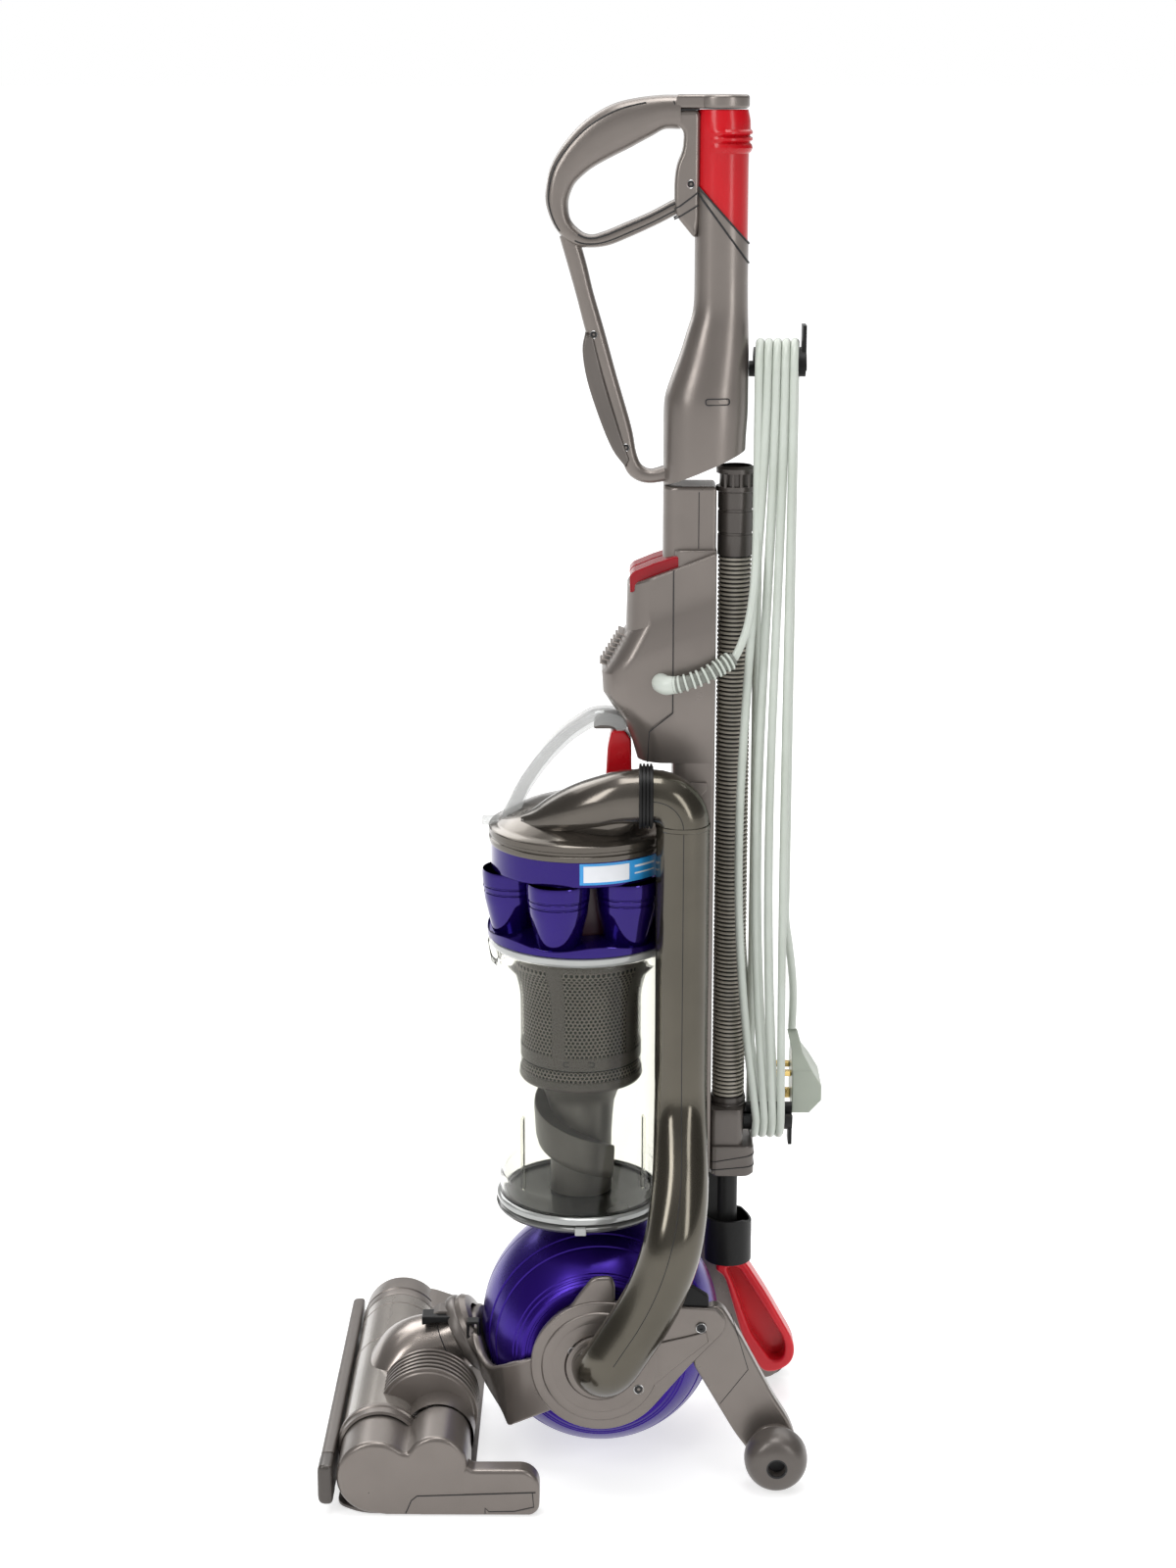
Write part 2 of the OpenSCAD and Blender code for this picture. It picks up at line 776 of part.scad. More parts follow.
// The far leg also carries the pin that the pedal turns on, on its inner side
module stand_leg_far() color(grey) on_axle()
    mirror([1, 0, 0]) {
        stand_leg();
        rod_x([leg_x[0], leg_x[1] + 0.4], pedal_pin[0], pedal_pin[1], 8);
        rod_x([51, leg_x[0] + 1], pedal_pin[0], pedal_pin[1], 3);
    }

module stand_wheels() color(dark) on_axle()
    both_sides()
        tube_x([94, 122], wheel_back, wheel_r, wheel_r, stub_r + run_gap);

module stand_pedal() color(red) on_axle()
    difference() {
        union() {
            rod_x(pedal_x, pedal_pin[0], pedal_pin[1], 7);
            side_plate(pedal_x, [[97, 118], [100, 126], [112, 128], [120, 125], [128, 112],
                [139, 95], [164, 50], [163, 36], [158, 30], [137, 24], [119, 58], [104, 112]]);
        }
        rod_x([-80, -40], pedal_pin[0], pedal_pin[1], 3 + run_gap);
        side_plate([-66, -40], [[112, 109], [123, 107], [133, 92], [155, 52], [152, 38],
            [140, 33], [124, 62], [111, 101]]);
    }

// ---------- cyclone assembly ----------

module cyclone_axis() {
    translate([0, -bin_ahead, 0])
        children();
}

// Clears the back of the cyclone from the spine
module behind_cyclone() {
    block([-45, spine_y[0] - 0.4, 400], [45, 90, 545]);
}

module cyclone_cones() color(violet) on_axle()
    difference() {
        cyclone_axis() {
            rotate_extrude()
                polygon([[60, 478], [band_r - 1, 474], [band_r + 1, 497], [band_r, 506],
                    [66, 506], [66, 480], [60, 482]]);
            rotate_extrude()
                polygon([[50, 425], [band_r + 3, 425], [band_r + 3, 431], [66, 434],
                    [50, 434]]);
            for (i = [0 : cone_count - 1])
                rotate([0, 0, 360 / cone_count * i - 18])
                    translate([50, 0, 431]) {
                        cylinder(r1 = 15, r2 = 23.5, h = 50);
                        translate([0, 0, 34])
                            cylinder(r = 22.5, h = 4);
                    }
            ring_z(0, 0, [432, 482], 42, 38);
        }
        behind_cyclone();
    }

horn_path = smooth([[22, -34, 512], [34, -26, 532], [48, -10, 549], [57, 8, 557],
    [duct_side, 28.5, bend_top + bend_r]], 3);

module cyclone_cap() color(grey) on_axle() {
    difference() {
        cyclone_axis()
            rotate_extrude()
                polygon([[0, 541], [34, 541], [54, 530], [66, 518], [band_r + 1, 512],
                    [band_r + 1, 506.2], [band_r - 4, 506.2], [62, 515], [50, 526], [32, 537],
                    [0, 537]]);
        behind_cyclone();
    }
    swept_rod(horn_path, [for (i = [0 : 12]) 17 + 3 * ease(i / 8)], 16, [0, 0, 1]);
}

module carry_handle() color(clear) on_axle()
    side_plate([-11, 11], [[-78.5, 523], [-72, 541], [-60, 563], [-41, 587], [-18, 606],
        [-3, 611], [-3, 597], [-18, 592], [-41, 571], [-57, 551], [-66, 532.8], [-70, 530.5],
        [-78, 522.5]]);

module clear_bin() color(clear) on_axle()
    cyclone_axis()
        rotate_extrude()
            polygon([[bin_r - 2.5, 208], [bin_r + 2, 208], [bin_r + 2, 213], [bin_r, 214],
                [bin_r + 1, 420], [bin_r + 3, 421], [bin_r + 3, 424.8], [bin_r - 2, 424.8]]);

module bin_shroud() color(dark) on_axle()
    cyclone_axis()
        rotate_extrude()
            polygon([[shroud_r - 3, 312], [shroud_r + 2, 311], [shroud_r, 322], [shroud_r, 424.8],
                [shroud_r - 3, 424.8]]);

module inner_cone() color(dark) on_axle()
    cyclone_axis()
        rotate_extrude()
            polygon([[0, 232], [22, 232], [30, 270], [30, 312], [44.5, 322], [44.5, 326],
                [28, 318], [0, 318]]);

module bin_base() color(dark) on_axle() {
    cyclone_axis()
        rotate_extrude()
            polygon([[0, bin_low], [bin_r, bin_low], [bin_r + 1, 207.6], [bin_r - 3, 207.6],
                [bin_r - 5, 205], [14, 205], [14, 215], [0, 215]]);
    block([-12, 48, bin_low], [12, 55, 207.6]);
}

module bin_catch() color(red) on_axle()
    block([-9, -1.5, 560], [9, 9, 600]);

soleplate();
bumper_strip();
brush_housing();
head_end_cap();
belt_cover();
brush_motor_cover();
brush_motor();
drive_belt();
brush_bar();
brush_bristles();
brush_motor_pulley();
sole_rollers();
neck_elbow();
yoke_cradle();
neck_collar();
ball_shell_near();
ball_shell_far();
motor_bucket();
vacuum_motor();
exhaust_filter();
ball_bearings();
motor_fan();
spine();
front_housing();
hose();
hose_collars();
valve_housing();
rear_tube();
lower_hook();
strain_relief();
clean_air_duct();
duct_clip();
wand_tube();
handle_grip();
handle_strut();
grip_pad();
body_screws();
cord_ends();
cord_winding();
plug_body();
plug_pins();
wand_collar();
wand_cap();
upper_hook();
power_button();
brush_button();
side_cover_near();
side_cover_far();
stand_leg_near();
stand_leg_far();
stand_pedal();
stand_wheels();
cyclone_cones();
cyclone_cap();
carry_handle();
clear_bin();
bin_shroud();
inner_cone();
bin_base();
bin_catch();
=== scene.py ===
"""Looks of an upright vacuum cleaner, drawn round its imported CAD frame."""

import json
import math

import bmesh
import bpy
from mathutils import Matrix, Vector


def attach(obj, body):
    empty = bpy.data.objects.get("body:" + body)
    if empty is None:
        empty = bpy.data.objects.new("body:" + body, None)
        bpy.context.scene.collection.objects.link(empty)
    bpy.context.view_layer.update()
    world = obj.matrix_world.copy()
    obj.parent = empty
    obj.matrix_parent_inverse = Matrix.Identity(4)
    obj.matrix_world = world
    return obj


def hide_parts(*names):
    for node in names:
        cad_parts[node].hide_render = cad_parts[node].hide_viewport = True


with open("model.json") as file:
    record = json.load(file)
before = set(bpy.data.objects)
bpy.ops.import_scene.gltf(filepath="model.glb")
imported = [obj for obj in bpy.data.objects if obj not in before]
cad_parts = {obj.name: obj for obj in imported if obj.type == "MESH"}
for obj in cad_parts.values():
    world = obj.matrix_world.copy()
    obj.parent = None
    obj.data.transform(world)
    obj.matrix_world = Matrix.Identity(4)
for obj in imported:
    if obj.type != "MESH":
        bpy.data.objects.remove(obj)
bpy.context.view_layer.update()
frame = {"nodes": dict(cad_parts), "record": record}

MM = 0.001
AXLE_BACK = 27  # the ball's axle lies this far behind the frame's origin, in mm


def at(x, y, z):
    """A point given in mm about the ground below the ball's axle, in the frame's metres."""
    return Vector((x, y + AXLE_BACK, z)) * MM


# ---------- camera, light and floor ----------


def add_camera():
    camera = bpy.data.cameras.new("camera")
    camera.lens = 65.43
    camera.sensor_width = 36
    camera.clip_start = 0.05
    eye = bpy.data.objects.new("camera", camera)
    bpy.context.scene.collection.objects.link(eye)
    pitch = math.radians(14.44)
    yaw = math.radians(-0.59)
    forward = Vector((-math.cos(yaw) * math.cos(pitch), math.sin(yaw) * math.cos(pitch), -math.sin(pitch)))
    eye.location = (2.165, 0.039, 1.109)
    eye.rotation_euler = forward.to_track_quat("-Z", "Y").to_euler()
    bpy.context.scene.camera = eye


def add_area_light(name, place, target, size, power, colour=(1, 1, 1)):
    light = bpy.data.lights.new(name, "AREA")
    light.shape = "RECTANGLE"
    light.size, light.size_y = size
    light.energy = power
    light.color = colour
    lamp = bpy.data.objects.new(name, light)
    lamp.location = place
    lamp.rotation_euler = (Vector(target) - Vector(place)).to_track_quat("-Z", "Y").to_euler()
    bpy.context.scene.collection.objects.link(lamp)


def add_sky():
    """A soft room: bright behind and in front, dimmer at the sides and above."""
    world = bpy.data.worlds.new("studio")
    world.use_nodes = True
    nodes, links = world.node_tree.nodes, world.node_tree.links
    parts = nodes.new("ShaderNodeSeparateXYZ")
    links.new(nodes.new("ShaderNodeTexCoord").outputs["Generated"], parts.inputs[0])
    height = nodes.new("ShaderNodeValToRGB")
    links.new(parts.outputs["Z"], height.inputs[0])
    height.color_ramp.elements[0].position = 0.0
    height.color_ramp.elements[0].color = (1, 1, 1, 1)
    height.color_ramp.elements[1].position = 1.0
    height.color_ramp.elements[1].color = (0.75, 0.75, 0.75, 1)
    for place, value in ((0.05, 1), (0.14, 0.36), (0.6, 0.3)):
        height.color_ramp.elements.new(place).color = (value, value, value, 1)
    aside = maths(nodes, links, "ABSOLUTE", parts.outputs["Y"])
    sides = spread(nodes, links, aside, 1.0, 0.3, 0.35, 0.85)
    total = maths(nodes, links, "MULTIPLY", height.outputs["Color"], sides)
    # The camera sees plain white, whatever the light from there
    camera_ray = nodes.new("ShaderNodeLightPath").outputs["Is Camera Ray"]
    back = nodes["Background"]
    back.inputs["Color"].default_value = (1, 1, 1, 1)
    links.new(maths(nodes, links, "MAXIMUM", total, camera_ray), back.inputs["Strength"])
    bpy.context.scene.world = world


def add_studio():
    """Soft boxes round the object, and a pale floor that glows to white away from it."""
    add_sky()
    add_area_light("key", (1.5, -1.5, 1.9), (0, 0, 0.5), (0.6, 1.7), 24)
    add_area_light("fill", (1.8, 1.6, 1.3), (0, 0, 0.5), (0.5, 1.7), 13)
    add_area_light("top", (0.1, 0, 2.8), (0, 0, 0.4), (1.2, 1.2), 26)
    add_area_light("back", (-3.5, 0, 3.2), (-3.5, 0, 0), (5, 6), 160)
    add_area_light("rear", (-1.6, -1.0, 1.6), (0, 0, 0.5), (0.8, 1.4), 10)
    bpy.context.scene.view_settings.view_transform = "Standard"
    back, front, side = -90, 60, 60  # metres, so that its edges are out of sight
    mesh = bpy.data.meshes.new("floor")
    corners = [(back, -side, 0), (front, -side, 0), (front, side, 0), (back, side, 0)]
    mesh.from_pydata(corners, [], [(0, 1, 2, 3)])
    floor = bpy.data.objects.new("floor", mesh)
    bpy.context.scene.collection.objects.link(floor)
    white = plastic("floor_white", (0.55, 0.55, 0.548), 0.8, grain=0.01, grain_size=0.01,
                    tint=(0.54, 0.54, 0.538))
    shader = white.node_tree.nodes["Principled BSDF"]
    shader.inputs["Specular IOR Level"].default_value = 0.2
    shader.inputs["Emission Color"].default_value = (1, 1, 1, 1)
    nodes, links = white.node_tree.nodes, white.node_tree.links
    place = nodes.new("ShaderNodeSeparateXYZ")
    links.new(object_coords(nodes), place.inputs[0])
    away = maths(nodes, links, "ABSOLUTE", place.outputs["X"])
    links.new(spread(nodes, links, away, 0.66, 0.86, 1.2, 4), shader.inputs["Emission Strength"])
    mesh.materials.append(white)


# ---------- materials ----------


def new_material(name):
    material = bpy.data.materials.new(name)
    material.use_nodes = True
    nodes = material.node_tree.nodes
    return material, nodes, material.node_tree.links, nodes["Principled BSDF"]


def add_node(nodes, kind, **inputs):
    node = nodes.new(kind)
    for key, value in inputs.items():
        node.inputs[key.replace("_", " ")].default_value = value
    return node


def object_coords(nodes):
    return nodes.new("ShaderNodeTexCoord").outputs["Object"]


def noise(nodes, links, size, detail=3.0, stretch=None):
    """Noise whose features are about size metres across."""
    node = add_node(nodes, "ShaderNodeTexNoise", Scale=1 / size, Detail=detail, Roughness=0.55)
    source = object_coords(nodes)
    if stretch:
        mapping = nodes.new("ShaderNodeMapping")
        mapping.inputs["Scale"].default_value = stretch
        links.new(source, mapping.inputs["Vector"])
        source = mapping.outputs["Vector"]
    links.new(source, node.inputs["Vector"])
    return node.outputs["Fac"]


def maths(nodes, links, operation, *sources):
    """A sum of sockets and plain numbers."""
    node = nodes.new("ShaderNodeMath")
    node.operation = operation
    for socket, source in zip(node.inputs, sources):
        if isinstance(source, float):
            socket.default_value = source
        else:
            links.new(source, socket)
    return node.outputs[0]


def add_bump(nodes, links, shader, height, strength):
    node = add_node(nodes, "ShaderNodeBump", Strength=strength, Distance=0.0002)
    links.new(height, node.inputs["Height"])
    links.new(node.outputs["Normal"], shader.inputs["Normal"])


def spread(nodes, links, source, low, high, from_low=0.3, from_high=0.7):
    """Maps the source from from_low..from_high to low..high."""
    node = add_node(nodes, "ShaderNodeMapRange")
    node.inputs["From Min"].default_value = from_low
    node.inputs["From Max"].default_value = from_high
    node.inputs["To Min"].default_value = low
    node.inputs["To Max"].default_value = high
    links.new(source, node.inputs["Value"])
    return node.outputs["Result"]


def mix_colours(nodes, links, factor, first, second):
    node = nodes.new("ShaderNodeMix")
    node.data_type = "RGBA"
    node.inputs[6].default_value = (*first, 1)
    node.inputs[7].default_value = (*second, 1)
    links.new(factor, node.inputs[0])
    return node.outputs[2]


def plastic(name, colour, rough, metal=0.0, coat=0.0, coat_rough=0.1, grain=0.1, grain_size=0.0012,
            tint=None, smudge=0.12, specular=0.5):
    """Moulded plastic: a little colour drift, handled patches in its gloss, fine mould grain and
    faint scuffs."""
    material, nodes, links, shader = new_material(name)
    tint = tint or tuple(c * 0.82 for c in colour)
    cloud = noise(nodes, links, 0.06)
    links.new(mix_colours(nodes, links, spread(nodes, links, cloud, 0, 1), colour, tint),
              shader.inputs["Base Color"])
    patches = noise(nodes, links, 0.03, 4)
    links.new(spread(nodes, links, patches, rough * (1 - smudge), rough * (1 + smudge)),
              shader.inputs["Roughness"])
    shader.inputs["Metallic"].default_value = metal
    shader.inputs["Specular IOR Level"].default_value = specular
    shader.inputs["Coat Weight"].default_value = coat
    shader.inputs["Coat Roughness"].default_value = coat_rough
    fine = noise(nodes, links, grain_size, 2)
    scuff = noise(nodes, links, 0.02, 6, (1, 1, 0.15))
    add_bump(nodes, links, shader, maths(nodes, links, "MULTIPLY_ADD", scuff, 0.35, fine), grain)
    return material


def clear_plastic(name, colour, rough=0.03, haze=0.0):
    """Clear polycarbonate with fine handling scratches in its gloss."""
    material, nodes, links, shader = new_material(name)
    shader.inputs["Base Color"].default_value = (*colour, 1)
    shader.inputs["Transmission Weight"].default_value = 1 - haze
    shader.inputs["IOR"].default_value = 1.25
    scratches = noise(nodes, links, 0.004, 5, (1, 1, 0.08))
    links.new(spread(nodes, links, scratches, rough, rough * 3), shader.inputs["Roughness"])
    add_bump(nodes, links, shader, scratches, 0.03)
    return material


def metallic_grey(name, shade=1.0, rough=0.32, metal=0.6):
    """The warm grey of most covers, which has fine metal flake in it."""
    colour = tuple(c * shade for c in (0.205, 0.18, 0.163))
    tint = tuple(c * 0.9 for c in colour)
    return plastic(name, colour, rough, metal=metal, coat=0.1, coat_rough=0.2, grain=0.08, tint=tint,
                   smudge=0.16)


def tinted_clear(name, colour, alpha, rough=0.12, metal=0.0):
    """Thin tinted plastic that lets some of what is behind it show."""
    material = plastic(name, colour, rough, metal=metal, coat=0.4, coat_rough=0.05, grain=0.04)
    material.node_tree.nodes["Principled BSDF"].inputs["Alpha"].default_value = alpha
    return material


def make_materials():
    """One finish for each slot of the record, and the other finishes that its pieces have."""
    return {
        "grey_plastic": metallic_grey("warm_grey"),
        "grey_shade": metallic_grey("shade_grey", 0.62, 0.38, 0.4),
        "grey_deep": metallic_grey("deep_grey", 0.4, 0.34, 0.35),
        "grey_pale": metallic_grey("pale_grey", 1.6, 0.3, 0.6),
        "grey_bright": metallic_grey("bright_grey", 1.5, 0.24, 0.75),
        "cap_grey": plastic("cap_grey", (0.12, 0.106, 0.09), 0.2, metal=0.75, coat=0.2, coat_rough=0.08),
        "tube_grey": metallic_grey("tube_grey", 0.9, 0.22, 0.7),
        "dark_plastic": plastic("charcoal", (0.010, 0.010, 0.010), 0.42, specular=0.22),
        "rubber_dark": plastic("dark_rubber", (0.012, 0.012, 0.013), 0.6, grain=0.25),
        # Black for the sheet inside the shroud: painted shade behind its holes
        "painted_shade_black": plastic("painted_shade_black", (0.006, 0.006, 0.006), 0.8),
        "clear_plastic": clear_plastic("clear_bin", (0.90, 0.90, 0.85)),
        "tube_smoke": tinted_clear("smoke_tube", (0.34, 0.31, 0.28), 0.93, 0.2, 0.5),
        "floor_dark": plastic("floor_dark", (0.03, 0.03, 0.028), 0.25, coat=0.3),
        "ball_indigo": plastic("indigo_ball", (0.034, 0.009, 0.235), 0.26, metal=0.7, specular=0.3,
                               coat=0.04, grain=0.015, tint=(0.028, 0.007, 0.20), smudge=0.07),
        "violet_gloss": plastic("violet_gloss", (0.018, 0.003, 0.15), 0.13, metal=0.75, coat=0.3,
                                coat_rough=0.03, grain=0.03),
        "red_plastic": plastic("red_gloss", (0.50, 0.004, 0.010), 0.26, specular=0.3, coat=0.1,
                               coat_rough=0.07),
        "red_dark": plastic("red_button", (0.30, 0.003, 0.010), 0.2, specular=0.3, coat=0.1,
                            coat_rough=0.07),
        "red_satin": plastic("red_satin", (0.70, 0.010, 0.022), 0.32, specular=0.35, coat=0.15,
                             coat_rough=0.12),
        "duct_gloss": plastic("duct_grey", (0.105, 0.094, 0.073), 0.17, metal=0.8, coat=0.25,
                              coat_rough=0.06),
        "hose_skin": plastic("hose_brown", (0.022, 0.019, 0.017), 0.5),
        "hose_rib": plastic("hose_rib", (0.42, 0.39, 0.33), 0.38, metal=0.1),
        "shroud_dark": plastic("shroud_brown", (0.085, 0.076, 0.07), 0.4, metal=0.2),
        "mesh_grey": plastic("mesh_grey", (0.16, 0.145, 0.13), 0.36, metal=0.45),
        "cone_grey": plastic("cone_grey", (0.10, 0.094, 0.088), 0.4, metal=0.3),
        "lead_grey": plastic("lead_pale", (0.56, 0.60, 0.55), 0.4, coat=0.2, tint=(0.48, 0.52, 0.46)),
        "arch_clear": tinted_clear("arch_clear", (0.55, 0.56, 0.55), 0.38, 0.1, 0.2),
        "relief_core": plastic("relief_core", (0.20, 0.21, 0.185), 0.5, tint=(0.16, 0.17, 0.15)),
        "plug_grey": plastic("plug_pale", (0.42, 0.46, 0.39), 0.45, coat=0.1),
        "brass": plastic("brass", (0.75, 0.55, 0.2), 0.25, metal=1.0),
        "steel": plastic("steel", (0.6, 0.6, 0.6), 0.28, metal=1.0),
        "screw_black": plastic("screw_black", (0.015, 0.015, 0.016), 0.35, metal=0.3),
        "filter_cloth": plastic("filter_cloth", (0.7, 0.7, 0.66), 0.9, grain=0.6, grain_size=0.002),
        "bristle": plastic("bristle", (0.03, 0.03, 0.032), 0.7, grain=0.4),
        "maroon_core": plastic("maroon_core", (0.035, 0.004, 0.012), 0.4),
        "lip_pale": plastic("lip_pale", (0.42, 0.43, 0.42), 0.12, metal=0.3, coat=0.5, coat_rough=0.05),
        "lip_grey": plastic("lip_grey", (0.13, 0.13, 0.125), 0.14, metal=0.3, coat=0.4, coat_rough=0.05),
        "label_blue": plastic("label_blue", (0.03, 0.32, 0.72), 0.3, coat=0.2),
        "label_white": plastic("label_white", (0.78, 0.80, 0.84), 0.3, coat=0.4),
    }


def dress_nodes():
    """Gives every CAD node the finish of its material slot."""
    for part in frame["record"]["subparts"]:
        obj = frame["nodes"][part["node"]]
        obj.data.materials.clear()
        obj.data.materials.append(materials[part["material_slot"]])


# ---------- mesh tools ----------
# A shape is a list of points, in mm about the axle's ground point, and a list of faces.


def between(t, a, b, c, d):
    """The value of a Catmull-Rom curve at t of the way from b to c."""
    cubic = (3 * b - a - 3 * c + d) * t ** 3
    return 0.5 * (2 * b + (c - a) * t + (2 * a - 5 * b + 4 * c - d) * t ** 2 + cubic)


def smooth(points, steps):
    """Catmull-Rom curve through points of any dimension, with steps parts to each span."""
    points = [tuple(p) for p in points]
    first = tuple(2 * a - b for a, b in zip(points[0], points[1]))
    last = tuple(2 * a - b for a, b in zip(points[-1], points[-2]))
    ends = [first] + points + [last]
    curve = []
    for spans in zip(ends, ends[1:], ends[2:], ends[3:]):
        for i in range(steps):
            curve.append(tuple(between(i / steps, *values) for values in zip(*spans)))
    return curve + [points[-1]]


def arc(centre, radius, first, last, steps=16):
    """Points of an arc in a plane, from one angle to another in degrees."""
    angles = [math.radians(first + (last - first) * i / steps) for i in range(steps + 1)]
    return [(centre[0] + radius * math.cos(a), centre[1] + radius * math.sin(a)) for a in angles]


def rounded(points, radius, steps=4):
    """A closed outline with its corners rounded; a point may carry its own radius."""
    result = []
    for i, point in enumerate(points):
        here = Vector(point[:2])
        reach = point[2] if len(point) > 2 else radius
        back = Vector(points[i - 1][:2]) - here
        ahead = Vector(points[(i + 1) % len(points)][:2]) - here
        start = here + back.normalized() * min(reach, back.length * 0.48)
        end = here + ahead.normalized() * min(reach, ahead.length * 0.48)
        for k in range(steps + 1):
            t = k / steps
            result.append(tuple(start * (1 - t) ** 2 + here * 2 * t * (1 - t) + end * t ** 2))
    return result


def join(*shapes):
    points, faces = [], []
    for more, corners in shapes:
        base = len(points)
        points += more
        faces += [[i + base for i in face] for face in corners]
    return points, faces


def mirror_x(shape):
    return [(-p[0], p[1], p[2]) for p in shape[0]], [face[::-1] for face in shape[1]]


def both(shape):
    return join(shape, mirror_x(shape))


def mirrored(points):
    """Half an outline, and then its mirror image, back to the start."""
    return points + [(-p[0], *p[1:]) for p in reversed(points)]


def skin(rings, caps=True, closed=False, seam=True):
    """A surface through rings of as many points each. closed joins the last ring to the first,
    and seam each ring's last point to its first."""
    count = len(rings[0])
    points = [tuple(p) for ring in rings for p in ring]
    faces = []
    for a in range(len(rings) if closed else len(rings) - 1):
        b = (a + 1) % len(rings)
        for i in range(count if seam else count - 1):
            j = (i + 1) % count
            faces.append([a * count + i, a * count + j, b * count + j, b * count + i])
    if caps and not closed:
        faces.append(list(range(count))[::-1])
        faces.append([(len(rings) - 1) * count + i for i in range(count)])
    return points, faces


def around(axis, centre, radius, height, angle):
    """A point at an angle round an axis through centre, height along it."""
    u, v = radius * math.cos(angle), radius * math.sin(angle)
    offset = {"x": (height, u, v), "y": (u, height, v), "z": (u, v, height)}[axis]
    return tuple(c + o for c, o in zip(centre, offset))


def lathe(profile, centre, axis="z", steps=72, closed=False, span=None):
    """Turns a profile of (radius, height) about an axis, the whole way or over a span of degrees."""
    first, last = span or (0, 360)
    count = steps + 1 if span else steps
    angles = [math.radians(first + (last - first) * i / steps) for i in range(count)]
    rings = [[around(axis, centre, r, h, a) for a in angles] for r, h in profile]
    return skin(rings, caps=False, closed=closed, seam=not span)


def frames(path, start):
    """(point, direction, side, across) at each point of a path, without twist."""
    path = [Vector(p) for p in path]
    side = Vector(start)
    result = []
    for i, point in enumerate(path):
        ahead = (path[min(i + 1, len(path) - 1)] - path[max(i - 1, 0)]).normalized()
        side = (side - ahead * side.dot(ahead)).normalized()
        result.append((point, ahead, side, ahead.cross(side)))
    return result


def superellipse(angle, power):
    c, s = math.cos(angle), math.sin(angle)
    return math.copysign(abs(c) ** (2 / power), c), math.copysign(abs(s) ** (2 / power), s)


def oval(count, power):
    """count points round a superellipse of half width 1."""
    return [superellipse(2 * math.pi * k / count, power) for k in range(count)]


def sweep(path, sizes, sides=20, start=(1, 0, 0), power=2.0, caps=True):
    """A tube along path whose half widths are sizes: along start's side, and across it."""
    rings = []
    for (point, _, side, across), (a, b) in zip(frames(path, start), sizes):
        rings.append([tuple(point + side * a * u + across * b * v) for u, v in oval(sides, power)])
    return skin(rings, caps=caps)


def along(path, sizes, turn, start=(1, 0, 0), power=2.0, proud=0.1):
    """The line at one angle, in degrees, on the skin of such a tube."""
    u, v = superellipse(math.radians(turn), power)
    return [tuple(point + side * (a + proud) * u + across * (b + proud) * v)
            for (point, _, side, across), (a, b) in zip(frames(path, start), sizes)]


def rod(path, radius, sides=8, start=(1, 0, 0)):
    return sweep(path, [(radius, radius)] * len(path), sides, start)


def plate(outlines, span, rounding, plane="x", steps=3):
    """A flat plate with rounded edges: the first outline is its edge, and others are holes."""
    curve = bpy.data.curves.new("outline", "CURVE")
    curve.dimensions = "2D"
    curve.fill_mode = "BOTH"
    curve.extrude = (span[1] - span[0]) / 2 - rounding
    curve.bevel_depth = rounding
    curve.bevel_resolution = steps
    curve.offset = -rounding
    for outline in outlines:
        spline = curve.splines.new("POLY")
        spline.points.add(len(outline) - 1)
        for point, place in zip(spline.points, outline):
            point.co = (place[0], place[1], 0, 1)
        spline.use_cyclic_u = True
    maker = bpy.data.objects.new("outline", curve)
    bpy.context.scene.collection.objects.link(maker)
    made = bpy.data.meshes.new_from_object(maker.evaluated_get(bpy.context.evaluated_depsgraph_get()))
    middle = (span[0] + span[1]) / 2
    place = {
        "x": lambda c: (middle + c.z, c.x, c.y),
        "y": lambda c: (c.x, middle - c.z, c.y),
        "z": lambda c: (c.x, c.y, middle + c.z),
    }[plane]
    shape = [place(v.co) for v in made.vertices], [list(p.vertices) for p in made.polygons]
    bpy.data.objects.remove(maker)
    bpy.data.curves.remove(curve)
    bpy.data.meshes.remove(made)
    return shape


def slab(outline, corner, span, rounding, plane="x", steps=3, corner_steps=4):
    """A plate of one outline, whose corners are rounded too."""
    return plate([rounded(outline, corner, corner_steps)], span, rounding, plane, steps)


def box_shape(low, high, rounding=0.4):
    """A small block with rounded edges."""
    corners = [(low[0], low[1]), (high[0], low[1]), (high[0], high[1]), (low[0], high[1])]
    return slab(corners, rounding, (low[2], high[2]), rounding, "z", 1)


def show(name, shape, slot, body, *nodes, finish=None, angle=38):
    """Makes a piece of a shape. It rides on a body and stands for CAD nodes, if any are named. Its
    finish is its slot's own unless another is given."""
    mesh = bpy.data.meshes.new(name)
    mesh.from_pydata([at(*p) for p in shape[0]], [], shape[1])
    work = bmesh.new()
    work.from_mesh(mesh)
    bmesh.ops.remove_doubles(work, verts=work.verts, dist=2e-6)
    bmesh.ops.recalc_face_normals(work, faces=work.faces)
    work.to_mesh(mesh)
    work.free()
    mesh.materials.append(materials[finish or slot])
    mesh.shade_smooth()
    mesh.set_sharp_from_angle(angle=math.radians(angle))
    piece = bpy.data.objects.new(name, mesh)
    bpy.context.scene.collection.objects.link(piece)
    piece.modifiers.new("even_shading", "WEIGHTED_NORMAL").keep_sharp = True
    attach(piece, body)
    if nodes:
        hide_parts(*nodes)
    return piece


def show_lines(name, lines, body):
    """Makes one dark piece of the seams and grooves of a part."""
    return show(name, join(*lines), "rubber_dark", body)


